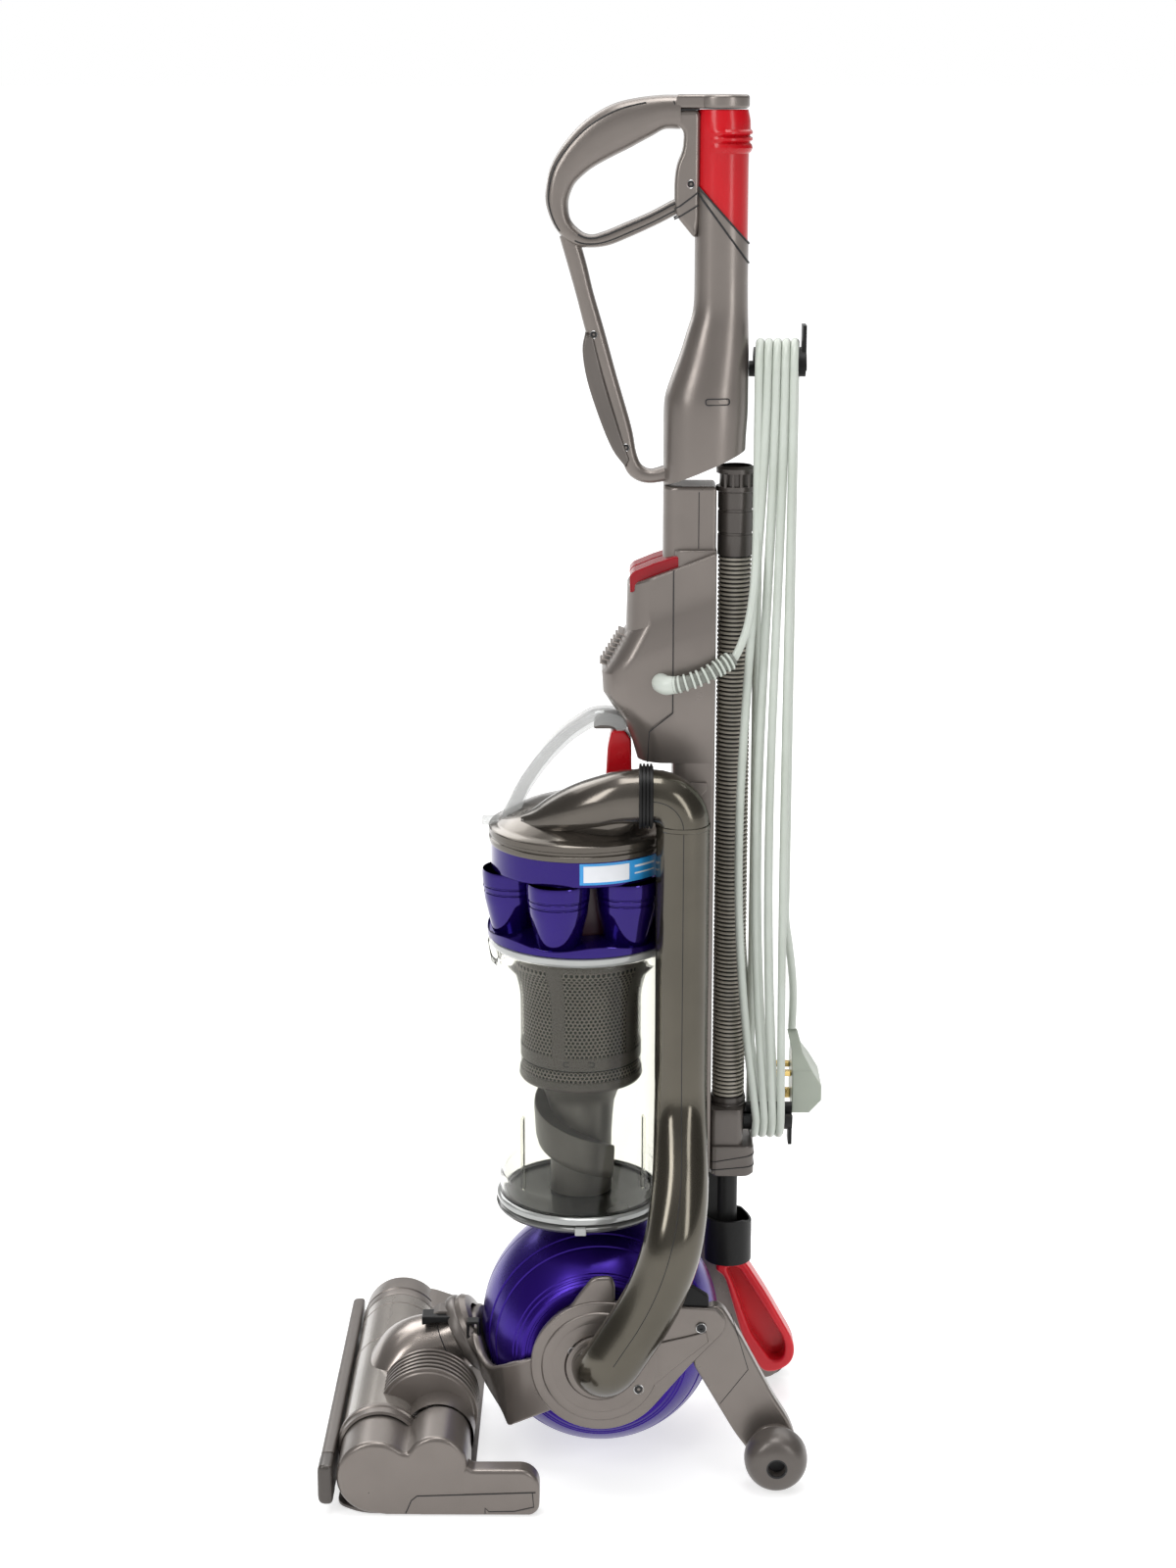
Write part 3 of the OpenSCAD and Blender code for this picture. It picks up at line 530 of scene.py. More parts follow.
def tube_curve(name, points, radius, material):
    """A round tube along points, as one open spline."""
    curve = bpy.data.curves.new(name, "CURVE")
    curve.dimensions = "3D"
    curve.bevel_depth = radius
    curve.bevel_resolution = 5
    curve.use_fill_caps = True
    spline = curve.splines.new("POLY")
    spline.points.add(len(points) - 1)
    for point, place in zip(spline.points, points):
        point.co = (*place, 1)
    curve.materials.append(material)
    piece = bpy.data.objects.new(name, curve)
    bpy.context.scene.collection.objects.link(piece)
    return piece


# ---------- the axes that many pieces share ----------

BALL_R = 97           # its axle is as high as its radius, because it stands on the floor
AXLE = (0, 0, BALL_R)
HUB = AXLE[1:]        # y and z of the axle, for outlines seen from the side
BIN_Y = -16
BIN_AXIS = (0, BIN_Y, 0)
WHEEL_AXIS = (0, 140, 25)
BRUSH_AXIS = (0, -174, 33)
COWL_AXIS = (0, -138, 48)
NECK_SLOPE = math.radians(61)
NECK_FOOT = (-112, 82)    # y and z of the foot of the neck's swivel axis


def bin_lathe(profile, steps=96, **more):
    return lathe(profile, BIN_AXIS, steps=steps, **more)


def bin_point(radius, angle, z):
    """A point at an angle, in radians, round the bin's axis."""
    return radius * math.cos(angle), BIN_Y + radius * math.sin(angle), z


# ---------- handle and wand ----------

WAND_Y = 89.5
GRIP_POWER = 2.7      # how square the grip's section is
WAND_POWER = 2.2
# The loop of the handle, from the foot of its post forward and round to its head:
# y, z, half thickness, half width
LOOP = [(64, 1000, 5.5, 10), (54, 995.5, 5.5, 9.5), (38, 987.3, 5.4, 9.5), (19, 979, 5.6, 9.5),
        (4, 973, 5.5, 10), (-8, 970.8, 4.8, 11), (-19, 973.5, 6, 12), (-29, 983.5, 6.6, 12.5),
        (-33.2, 998, 8.4, 13), (-32, 1010, 9.8, 13.5), (-27.5, 1021.5, 11.6, 14), (-17, 1034, 14, 14.3),
        (-3, 1045.2, 16.5, 14.5), (14, 1054.5, 17.2, 14.5), (30, 1060.5, 15.2, 14.3),
        (44, 1064.5, 12.6, 13.8), (58, 1064.8, 12.4, 13.5)]
STRUT = [(-25, 976, 7, 9), (-18, 952, 7, 8.5), (-12.5, 931, 6.6, 8), (-5, 904, 7, 8), (5.3, 869, 6.4, 8),
         (16.5, 831, 6.3, 8), (20.5, 812, 6, 8), (24.5, 801, 6.2, 8), (31, 795.8, 5.8, 8.5),
         (39, 794.6, 5.4, 9), (50, 797, 6, 10), (60, 799, 7, 10)]
# The wand's rings, from its foot up: z, front, back, half width
WAND = [(800, 47, 109.5, 30.5), (820, 47, 110, 31), (845, 47, 111, 31), (858, 48.5, 111, 30),
        (874, 54, 111, 27.5), (889, 59.5, 111, 25), (904, 64, 110.6, 22.8), (916, 67.8, 110.2, 21.2),
        (928, 69.3, 109.9, 20.4), (946, 69.5, 109.7, 20.1), (958, 69.5, 109.7, 20.1)]


def slant(y):
    """Height of the wand's slanted top edge."""
    return 1007 - (y - 75) * 1.086


def wand_ring(z, front, back, half, grow=0, count=48):
    middle, reach = (front + back) / 2, (back - front) / 2 + grow
    return [((half + grow) * v, middle + reach * u, z) for u, v in oval(count, WAND_POWER)]


def bar_line(rows):
    """A smooth bar in the machine's middle plane: its path, and its half widths and thicknesses."""
    line = smooth(rows, 5)
    return [(0, y, z) for y, z, _, _ in line], [(wide, thick) for _, _, thick, wide in line]


def make_handle():
    """The loop on its post, the brace below it, and the pad in the hand's place."""
    path, sizes = bar_line(LOOP)
    loop = sweep(path, sizes, 28, power=GRIP_POWER)
    post = slab([(61, 1052), (60, 1037), (55.5, 1027), (54, 1016), (54, 1000), (55, 990), (70, 972),
                 (72.4, 985), (72.4, 1066.5), (50, 1066.5), (50, 1058)], 5, (-12.5, 12.5), 3.5)
    show("handle_loop", join(loop, post), "grey_plastic", "main", "handle_grip")
    show("handle_brace", sweep(*bar_line(STRUT), 24, power=2.6), "grey_plastic", "main", "handle_strut")
    pad = smooth([(-12.4, 903), (-14.4, 890), (-11, 868), (-2, 840), (8, 816), (18.3, 802)], 4)
    inner = smooth([(21.5, 808), (13.6, 830), (2.4, 866), (-6, 900)], 4)
    show("handle_pad", plate([pad + inner], (-9.5, 9.5), 2.2), "dark_plastic", "main", "grip_pad",
         finish="grey_shade")
    make_handle_seams(path, sizes, inner)


def make_handle_seams(path, sizes, inner):
    """Parting lines: along the grip, round the inlay of its lower bar, beside the pad and on the post."""
    grip, bar = slice(34, len(path) - 8), slice(4, 31)
    seams = []
    for part, turn, radius in ((grip, -38, 0.55), (bar, 24, 0.7), (bar, -13.3, 0.55)):
        for angle in (turn, 180 - turn):
            seams.append(rod(along(path[part], sizes[part], angle, power=GRIP_POWER), radius))
    for side in (1, -1):
        face = side * 12.6
        seams.append(rod([(side * 8.2, y - 4.4, z - 1) for y, z in inner], 0.5))
        seams.append(rod([(face, 53, 1073), (face, 54.5, 1066.5), (face, 72, 1066.8)], 0.5))
        for drop in (0, 7.5):
            line = [(side * 11, 54, 995 - drop), (face, 58, 997 - drop), (face, 71.5, 1007 - drop * 1.25)]
            seams.append(rod(line, 0.6))
    show_lines("handle_seams", seams, "main")


def make_wand():
    """The wand, whose foot and top are slanted, with its top band and the window in its side."""
    rings = []
    for z, front, back, half in smooth(WAND, 3):
        foot = max(0, 1 - (z - 800) / 40)
        ring = wand_ring(z, front, back, half)
        rings.append([(x, y, z + foot * ((y - 50) * 0.43 - 10)) for x, y, z in ring])
    top = WAND[-1]
    rim = wand_ring(*top)
    rings.append([(x, y, slant(y)) for x, y, _ in rim])
    rings.append([(x * 0.9, WAND_Y + (y - WAND_Y) * 0.9, slant(y) - 1) for x, y, _ in rim])
    middle = 79
    foot_cover = [(x * 0.96, middle + (y - middle) * 0.96, z + 1.5) for x, y, z in rings[0]]
    body = join(skin(rings, caps=False), skin([rings[0], foot_cover]))
    show("wand_body", body, "grey_plastic", "main", "wand_tube")
    rim = wand_ring(*top, grow=0.25)
    upper = [(x, y, slant(y) + 0.2) for x, y, _ in rim]
    lower = [(x, y, slant(y) - 5 - (y - 72) * 0.24) for x, y, _ in rim]
    lines = [rod(line + line[:1], 0.75, 8, (0, 0, 1)) for line in (upper, lower)]
    window = rounded([(78, 851.8), (96, 851.8), (96, 856.4), (78, 856.4)], 2.2, 5)
    on_side = []
    for y, z in window:
        out = (1 - abs((y - middle) / 32) ** WAND_POWER) ** (1 / WAND_POWER)
        on_side.append((31 * out + 0.1, y, z))
    lines.append(rod(on_side + on_side[:1], 0.45, 8, (0, 0, 1)))
    show_lines("wand_trim", lines, "main")
    key = slab([(87, 852.8), (94.5, 852.8), (94.5, 855.4), (87, 855.4)], 1.2, (26.5, 29.6), 0.4)
    show("wand_window", key, "grey_plastic", "main", finish="grey_pale")


def make_collar():
    """The red sleeve with its ribs at the back, and the inner tube below it."""
    profile = [(0, 19.6), (8, 19.7), (9.5, 21.4), (12, 22.4), (14.5, 21.6), (16, 20), (17.6, 22.3),
               (19.2, 22.3), (20.8, 20), (22.4, 22.3), (24, 22.3), (25.4, 20.8), (32, 20.6), (39.5, 19)]
    plain, count = 19.6, 64
    angles = [2 * math.pi * i / count for i in range(count)]
    foot = [around("z", (0, WAND_Y, 0), plain, 0, a) for a in angles]
    rings = [[(x, y, slant(y) + 1.2) for x, y, _ in foot]]
    for height, radius in profile:
        ring = []
        for a in angles:
            rear = min(1, max(0, math.sin(a) * 1.6 + 0.75))
            r = plain + (radius - plain) * rear if radius > plain else radius
            ring.append(around("z", (0, WAND_Y, 1027), r, height, a))
        rings.append(ring)
    show("collar_sleeve", skin(rings, caps=False), "red_plastic", "wand", "wand_collar")
    tube = lathe([(17.2, 820), (17.5, 821), (17.5, 1064), (15.5, 1064), (15.5, 820)], (0, WAND_Y, 0),
                 closed=True)
    show("inner_tube", tube, "steel", "wand", finish="tube_grey")
    outline = [(-13, 55), (-13.2, 75)] + arc((0, WAND_Y), 19.8, 225, -45, 28) + [(13.2, 75), (13, 55)]
    show("wand_cap_lid", plate([outline], (1067.3, 1077.5), 2.6, "z", 4), "grey_plastic", "cap", "wand_cap")


def screw_shapes(places):
    """Bright rims and dark sockets of screws; a place is x, y, z and radius, facing +X."""
    # Each profile is in radii of the screw and in mm of height
    rim = [(1.35, -0.6), (1.35, 0.3), (1.25, 0.5), (1.15, 0.3), (1.15, -0.6)]
    socket = [(1.17, 0.2), (0.8, 0.45), (0.45, 0.45), (0.4, -0.5), (0, -0.5)]
    rims, sockets = [], []
    for x, y, z, r in places:
        rims.append(lathe([(r * k, h) for k, h in rim], (x, y, z), "x", 28))
        sockets.append(lathe([(r * k or 0.01, h) for k, h in socket], (x, y, z), "x", 24))
    return join(*rims), join(*sockets)


def make_body_screws():
    """The screws of the handle's post and brace."""
    rims, sockets = screw_shapes([(12.6, 66, 1013, 2.3), (8, -6, 902, 2.2), (8, 18.5, 817, 2.2)])
    show("body_screw_heads", sockets, "screw_black", "main", "body_screws")
    show("body_screw_rims", rims, "steel", "main")


# ---------- spine, housing and hose ----------

# Cross sections of the housing, from its top down: z and y of its front, slope, half width
HOUSING = [(714, 21, 0.388, 30.5), (712, 20, 0.388, 31.5), (692, 19.4, 0.388, 31.5),
           (677, 19, 0.388, 32), (655, 7, 0.36, 37), (645, 0.5, 0.2, 37), (630, 1.5, 0.05, 37),
           (620, 8, 0, 36.6), (606, 18, 0, 34), (590, 24, 0, 30), (575, 28, 0, 26.4)]

HOUSING_BACK = 87.3


def housing_ring(z, front, slope, half):
    outline = rounded(mirrored([(half, HOUSING_BACK, 1), (half, front + 17, 5), (half - 6, front + 6, 5),
                                (half - 17, front, 5)]), 3)
    return [(x, y, z + slope * (y - front)) for x, y in outline]


def make_spine():
    """The column and the mast above it, the housing before them, and its seams and grille."""
    column = slab(mirrored([(26, 55, 11), (26, 88, 3)]), 3, (236, 741), 1, "z", corner_steps=8)
    mast = slab(mirrored([(20.5, 47, 16), (20.5, 87.5, 3)]), 3, (600, 789), 3, "z", corner_steps=8)
    show("spine_column", join(column, mast), "grey_plastic", "main", "spine")
    show("housing_shell", skin([housing_ring(*row) for row in HOUSING]), "grey_plastic", "main",
         "front_housing", angle=22)
    seams = []
    for side in (1, -1):
        edge = ((31.6, 727), (32.1, 691.6), (37.2, 671.6), (37.1, 617))
        seams.append(rod([(side * x, 55, z) for x, z in edge], 0.45))
        seams.append(rod([(side * 37.1, 55, 617), (side * 35.5, 37, 602), (side * 27, 36, 576)], 0.45))
        seams.append(rod([(side * 20.7, 74, 742), (side * 20.7, 74, 785)], 0.3))
    show_lines("housing_seams", seams, "main")
    fins = []
    for i in range(8):
        y, z = 16.5 - 2 * i, 673 - 3.3 * i
        outline = [(y + 2, z + 0.6), (y - 3.4, z + 2.4), (y - 3.8, z + 1.2), (y + 2, z - 0.6)]
        fins.append(slab(outline, 0.3, (-14, 14), 0.3))
    show("housing_grille", join(*fins), "grey_plastic", "main", finish="grey_pale")
    hook_tab = slab([(60, 560), (82, 560), (82, 554), (76, 548)], 1, (26, 29), 0.5)
    show("spine_tab", hook_tab, "grey_plastic", "main")


def make_buttons():
    """The two red keys at the top of the housing: power and brush."""
    outline = [(22, 708), (60, 722.5), (60.5, 735.5), (57, 736.6), (40, 731), (24.5, 724.6), (21.6, 721)]
    for key, low in (("power", -24), ("brush", 2)):
        shape = slab(outline, 1.5, (low, low + 22), 1.3)
        show(key + "_key_cap", shape, "red_plastic", key + "_key", key + "_button", finish="red_dark")


def make_hose():
    """The stretch hose at rest, with a ring for each turn of its coil, and its two end collars."""
    centre = (0, 102.5, 0)
    top, pitch = 734, 3.4
    show("hose_wall", lathe([(11.4, 282), (11.4, top)], centre, steps=48), "hose_skin", "main", "hose")
    rings = []
    for i in range(int((top - 295) / pitch)):
        z = 296.7 + pitch * i
        half = [(11, 0.95), (12.7, 0.85), (13, 0.4)]
        ring = [(r, z - h) for r, h in half] + [(r, z + h) for r, h in reversed(half)]
        rings.append(lathe(ring, centre, steps=40))
    show("hose_ribs", join(*rings), "hose_skin", "main", finish="hose_rib")
    upper = lathe([(11.5, 734.2), (13.5, 734.4), (13.5, 750), (12.9, 750.5), (12.9, 752), (13.5, 752.5),
                   (13.5, 768), (12.9, 768.5), (12.9, 770), (13.5, 770.5), (13.5, 783), (15, 784),
                   (15, 787.5), (12.4, 788), (12.4, 797), (15, 797.5), (15, 801), (12, 803)], centre,
                  steps=56)
    lower = lathe([(11.5, 281.2), (14.2, 281.4), (14.2, 288), (13.2, 288.8), (13.2, 290), (14.2, 290.8),
                   (13.6, 294.3), (11.5, 294.4)], centre, steps=56)
    bars = [box_shape((x - 1, 114.2, 787), (x + 1, 116.5, 798), 0.4) for x in (-6, 0, 6)]
    bars += [box_shape((12.2, y - 1, 787), (14.6, y + 1, 798), 0.4) for y in (94, 100, 106, 112)]
    show("hose_cuffs", join(upper, lower, *bars), "dark_plastic", "main", "hose_collars",
         finish="grey_deep")


def block_rings(rows, front_corner, back_corner):
    """A block of level rings; a row is z, half width, front and back."""
    rings = []
    for z, half, front, back in rows:
        outline = mirrored([(half, front, front_corner), (half, back, back_corner)])
        rings.append([(x, y, z) for x, y in rounded(outline, front_corner, 5)])
    return skin(rings)


def make_rear():
    """The valve housing behind the spine's foot, and the two lines round it."""
    lower = block_rings([(232, 23, 90, 121), (234, 24, 88.3, 123), (256, 24, 88.3, 123),
                         (257.3, 23.4, 88.3, 122)], 5, 8)
    upper = block_rings([(257, 21, 88.3, 114.2), (281, 22, 88.3, 114.2), (287, 20, 89, 114.2)], 4, 6)
    show("valve_shell", join(lower, upper), "dark_plastic", "main", "valve_housing", finish="grey_shade")
    band = rounded(mirrored([(24.2, 88.5, 5), (24.2, 123.2, 8)]), 5, 5)
    lines = [rod([(x, y, z0 + (y - 105) * s) for x, y in band + band[:1]], 0.4, 6, (0, 0, 1))
             for z0, s in ((247, 0.18), (239, 0.1))]
    show_lines("valve_lines", lines, "main")


def make_relief():
    """The strain relief: a smooth bend, and then eleven rings round a thinner core."""
    path = smooth([(34, 46, 641), (40, 46.5, 641), (46, 51, 641), (49, 62, 643), (48, 78, 648.5),
                   (45, 91, 655.5), (42, 101, 661)], 12)
    count = len(path)
    radii = [7.4 - 2.4 * ease((i / count - 0.3) / 0.3) for i in range(count)]
    start = (0, 0, 1)
    bend = int(count * 0.46)
    show("lead_relief", sweep(path[:bend], [(r, r) for r in radii[:bend]], 24, start), "lead_grey",
         "main", "strain_relief")
    core = sweep(path[bend - 3:], [(r, r) for r in radii[bend - 3:]], 24, start)
    show("lead_relief_core", core, "lead_grey", "main", finish="relief_core")
    rings = []
    first, ring_count = int(count * 0.42), 11
    step = (count - first - 2) / ring_count
    for i in range(ring_count):
        here = int(first + step * i)
        before, middle, after = (Vector(p) for p in path[here:here + 3])
        ahead = (after - before).normalized()
        radius = 6.6 + 0.06 * i
        ends = [tuple(middle + ahead * d) for d in (-0.95, -0.7, 0.7, 0.95)]
        rings.append(sweep(ends, [(r, r) for r in (radius - 0.5, radius, radius, radius - 0.5)], 28, start))
    show("lead_relief_rings", join(*rings), "lead_grey", "main")


# ---------- clean-air duct ----------

DUCT_R = 20.5
DUCT_SIDE = 58        # x of the duct beside the bin
DUCT_OUT = 114        # x of the duct beside the ball
DUCT_TOP = 534        # where it starts to turn forward
ELBOW_R = 24
LOW_SLOPE = math.radians(58)
BOW_R = 240


def ease(t):
    t = min(max(t, 0), 1)
    return t * t * (3 - 2 * t)


def duct_point(y, z):
    """A point of the duct, which closes in on the machine's middle as it rises."""
    return Vector((DUCT_OUT - (DUCT_OUT - DUCT_SIDE) * ease((z - 200) / 120), y, z))


def duct_path():
    """The duct's middle line, from the ball's side up to the cyclone."""
    down = Vector((0, -math.cos(LOW_SLOPE), -math.sin(LOW_SLOPE)))
    elbow = Vector((DUCT_OUT, 0, BALL_R)) - down * ELBOW_R
    start = elbow - down * 26
    path = [Vector((85, 0, BALL_R)), Vector((89, 0, BALL_R))]
    for i in range(13):
        a = math.radians(90 - 7.5 * i)
        path.append(elbow + (down * math.sin(a) + Vector((-1, 0, 0)) * (1 - math.cos(a))) * ELBOW_R)
    for i in range(25):
        a = LOW_SLOPE + (math.pi / 2 - LOW_SLOPE) * i / 24
        y = start.y + BOW_R * (math.sin(a) - math.sin(LOW_SLOPE))
        z = start.z + BOW_R * (math.cos(LOW_SLOPE) - math.cos(a))
        path.append(duct_point(y, z))
    y = path[-1].y
    path += [duct_point(y, z) for z in (280, 295, 310, 325, 400, 470, DUCT_TOP)]
    bend = 23
    for i in range(1, 10):
        a = math.radians(10 * i)
        path.append(Vector((DUCT_SIDE, y - bend * (1 - math.cos(a)), DUCT_TOP + bend * math.sin(a))))
    path.append(Vector((DUCT_SIDE, 31, DUCT_TOP + bend)))
    return path


def make_duct():
    """The duct, wider where it leaves the ball, with its seams, joint, hub and clamp."""
    path = duct_path()
    widen = [1 - ease((point.z - 190) / 150) for point in path]
    sizes = [(DUCT_R + 2.8 * k, DUCT_R + 0.6 * k) for k in widen]
    start = (0, -math.sin(LOW_SLOPE), math.cos(LOW_SLOPE))
    show("duct_tube", sweep(path, sizes, 40, start), "duct_gloss", "main", "clean_air_duct")
    seams = [rod(along(path[14:], sizes[14:], turn, start, proud=-0.05), 0.35, 6) for turn in (84, 264)]
    show_lines("duct_seams", seams, "main")
    joint = lathe([(20.7, 532), (21.2, 532.6), (21.2, 535.4), (20.7, 536)], (DUCT_SIDE, path[-12].y, 0))
    hub = lathe([(0.01, 93.4), (25.6, 93.4), (26.8, 92.6), (27.2, 91), (27.2, 86)], AXLE, "x")
    show("duct_joint", joint, "duct_gloss", "main")
    show("duct_hub", hub, "grey_plastic", "main")
    profile = [(20.9, 29)]
    for i in range(4):
        y = 29.5 + i * 2.7
        profile += [(24.9, y), (24.9, y + 1.7), (23, y + 2), (23, y + 2.5)]
    profile += [(20.9, 40)]
    show("duct_clamp", lathe(profile, (DUCT_SIDE, 0, DUCT_TOP + 23), "y", 64), "dark_plastic", "main",
         "duct_clip")


# ---------- cyclone ----------

BAND_R = 71
CONE_RING = 54        # from the cyclone's axis to each cone's
CONE_COUNT = 6
CONE_TURN = -18       # degrees from +X to the first cone


def oval_tube(rows, count, power):
    """Upright ovals joined along the machine; a row is y, half width, half height, z and x."""
    turns = oval(count, power)
    return skin([[(x + a * u, y, z + b * v) for u, v in turns] for y, a, b, z, x in smooth(rows, 4)])


def make_cyclone_cap():
    """The grey cap with its two rims, the horn that meets the duct, and the saddle under the horn."""
    profile = [(60, 507), (71.8, 507.4), (72.4, 508.4), (72.4, 511.4), (71.2, 512.4), (71.2, 514.4),
               (72.6, 515.4), (72.6, 519.4), (71, 521.2), (67.4, 522), (65.6, 523.4), (58, 528.6),
               (46, 535), (32, 539.6), (16, 542), (0.01, 543)]
    horn = [(-62, 6, 5, 528, 26), (-52, 13, 9, 531, 32), (-42, 17, 13, 536, 38),
            (-30, 19.4, 16.4, 541.5, 45), (-16, 20.6, 18.8, 547, 51), (0, 21, 20.2, 552, 55.6),
            (14, 21, 20.8, 555.6, 57.6), (29.3, 21, 21, 557, 58)]
    saddle = [(-58, 20, 6, 527, 10), (-44, 30, 11, 530, 16), (-28, 36, 16, 534, 22),
              (-12, 38, 20, 538, 28), (6, 36, 22, 541, 34), (20, 28, 20, 545, 42),
              (28, 18, 14, 548, 50)]
    shape = join(bin_lathe(profile, 120), oval_tube(horn, 36, 2.1), oval_tube(saddle, 40, 2.0))
    show("cyclone_lid", shape, "duct_gloss", "cyclone", "cyclone_cap", finish="cap_grey")


def make_cones():
    """The violet band, the ringed cones below it and the bowl that they stand in."""
    band = bin_lathe([(60, 486.4), (69.8, 486.6), (70.8, 487.6), (BAND_R, 490), (BAND_R, 507)], 120)
    profile = [(0.01, 430.8), (14.2, 431), (15.4, 432), (16.3, 434), (22.4, 460), (23.2, 464.5),
               (23.4, 468.4), (22.8, 469), (22.8, 469.6), (23.8, 470.4), (24.2, 473.4), (23.6, 474),
               (23.6, 474.7), (24.4, 475.4), (24.8, 484), (24.2, 486.6)]
    cones = []
    for i in range(CONE_COUNT):
        place = bin_point(CONE_RING, math.radians(360 / CONE_COUNT * i + CONE_TURN), 0)
        cones.append(lathe(profile, place, steps=64))
    show("cyclone_cones_violet", join(band, *cones), "violet_gloss", "cyclone", "cyclone_cones")
    core = bin_lathe([(0.01, 430), (40, 430.4), (42, 433), (42, 487)], 64)
    show("cyclone_core", core, "dark_plastic", "cyclone", finish="maroon_core")
    # Radius, height, and how far the bowl swells up between the cones
    edge = [(45, 441, 0), (52, 438.4, 0.5), (60, 435.6, 1), (68, 434, 1), (72.4, 434, 1),
            (73.6, 435, 1), (74, 436, 1), (74.4, 435, 1), (74.2, 431.6, 0), (72, 430.6, 0),
            (45, 430.2, 0)]
    angles = [2 * math.pi * k / 144 for k in range(144)]
    bowl = []
    for radius, height, swell in edge:
        ring = []
        for a in angles:
            between = math.sin(CONE_COUNT / 2 * (a - math.radians(CONE_TURN))) ** 2
            ring.append(bin_point(radius, a, height + 4 * swell * between))
        bowl.append(ring)
    show("cyclone_bowl", skin(bowl, caps=False), "violet_gloss", "cyclone")


def on_band(points, proud):
    """Points of (arc length, height) laid on the band's near side; zero faces +X."""
    return [bin_point(BAND_R + proud, s / BAND_R, z) for s, z in points]


def sticker(name, first, last, low, high, proud, finish):
    """A plain printed sticker, wrapped round the band."""
    lengths = [first + (last - first) * i / 30 for i in range(31)]
    edges = ((low, proud), (high, proud), (high, 0.02), (low, 0.02))
    rings = [on_band([(s, z) for s in lengths], out) for z, out in edges]
    shape = skin(rings, caps=False, closed=True, seam=False)
    show(name, shape, "violet_gloss", "cyclone", finish=finish)


def make_stickers():
    """A sticker in two colours: a blank panel and two plain lines, without any lettering."""
    sticker("label_ground", 0, 72, 489.5, 506.4, 0.25, "label_blue")
    sticker("label_panel", 3, 40, 491.5, 504.4, 0.4, "label_white")
    sticker("label_bar", 45, 66, 500.4, 502, 0.4, "label_white")
    sticker("label_bar_low", 45, 66, 495, 496.2, 0.4, "label_white")


def make_carry_handle():
    """The clear handle that arches over the cyclone, with its red catch."""
    line = smooth([(-78.3, 523), (-76.5, 532), (-72, 541), (-66.5, 552.5), (-60, 563), (-51, 575.5),
                   (-41, 587), (-30, 597.5), (-18, 606), (-8.5, 611.2), (1, 613), (9.5, 612.2),
                   (17, 609), (23, 602)], 4)
    half = 11
    # The arch's section is a channel that opens inward: x, and the distance from its outer face
    rings = []
    for i, (y, z) in enumerate(line):
        run = (Vector(line[min(len(line) - 1, i + 1)]) - Vector(line[max(0, i - 1)])).normalized()
        inward = Vector((run.y, -run.x))
        section = [(-half, 11.5), (-half, 1.5), (-half + 1.5, 0), (half - 1.5, 0), (half, 1.5),
                   (half, 11.5), (half - 2, 11.5), (half - 2, 2.6), (half - 2.8, 2), (-half + 2.8, 2),
                   (-half + 2, 2.6), (-half + 2, 11.5)]
        rings.append([(x, y + inward.x * d, z + inward.y * d) for x, d in section])
    foot = slab([(-9.5, -94), (9.5, -94), (9.5, -76), (-9.5, -76)], 3, (520.5, 524), 0.8, "z")
    show("carry_arch", join(skin(rings), foot), "clear_plastic", "cyclone", "carry_handle",
         finish="arch_clear")
    catch = slab([(3.5, 556), (5, 583), (8, 597), (18, 597.5), (23.5, 590), (24, 556)], 3, (-12, 12), 2)
    show("carry_catch", catch, "red_plastic", "catch", "bin_catch")
    block = slab([(-6, 597.8), (-5, 604), (2, 609.6), (14, 609.4), (20, 602), (20, 597.8)], 2, (-8, 8), 1)
    show("carry_block", block, "dark_plastic", "cyclone", finish="grey_shade")


# ---------- bin ----------


SHROUD_R = 48
MESH_PITCH = 3.4
MESH_HOLE = 1.32


def flare(z):
    """Radius of the shroud, which widens to its top."""
    return SHROUD_R + 12.5 * ease((z - 372) / 56) ** 1.3


def perforated(low, high, first, last):
    """Part of the shroud's wall with staggered hexagonal holes, between two angles in degrees."""
    points, faces = [], []
    rise = MESH_PITCH * 0.866
    rows = int((high - low) / rise)
    width = math.radians(last - first) * SHROUD_R
    count = int(width / MESH_PITCH)
    step = width / count

    def lay(middle_s, middle_z, reach, angle):
        z = middle_z + reach * math.sin(angle)
        s = middle_s + reach * math.cos(angle)
        points.append(bin_point(flare(z), math.radians(first) + s / SHROUD_R, z))
        return len(points) - 1

    for row in range(rows):
        shift = step / 2 if row % 2 else 0
        middle = low + (row + 0.5) * rise
        for i in range(count):
            centre = (i + 0.5) * step + shift
            if centre + step / 2 > width + 0.01:
                continue
            outer, inner = [], []
            for k in range(6):
                a = math.radians(60 * k + 30)
                outer.append(lay(centre, middle, step / 1.732, a))
                inner.append(lay(centre, middle, MESH_HOLE, a))
            for k in range(6):
                j = (k + 1) % 6
                faces.append([outer[k], outer[j], inner[j], inner[k]])
    return points, faces


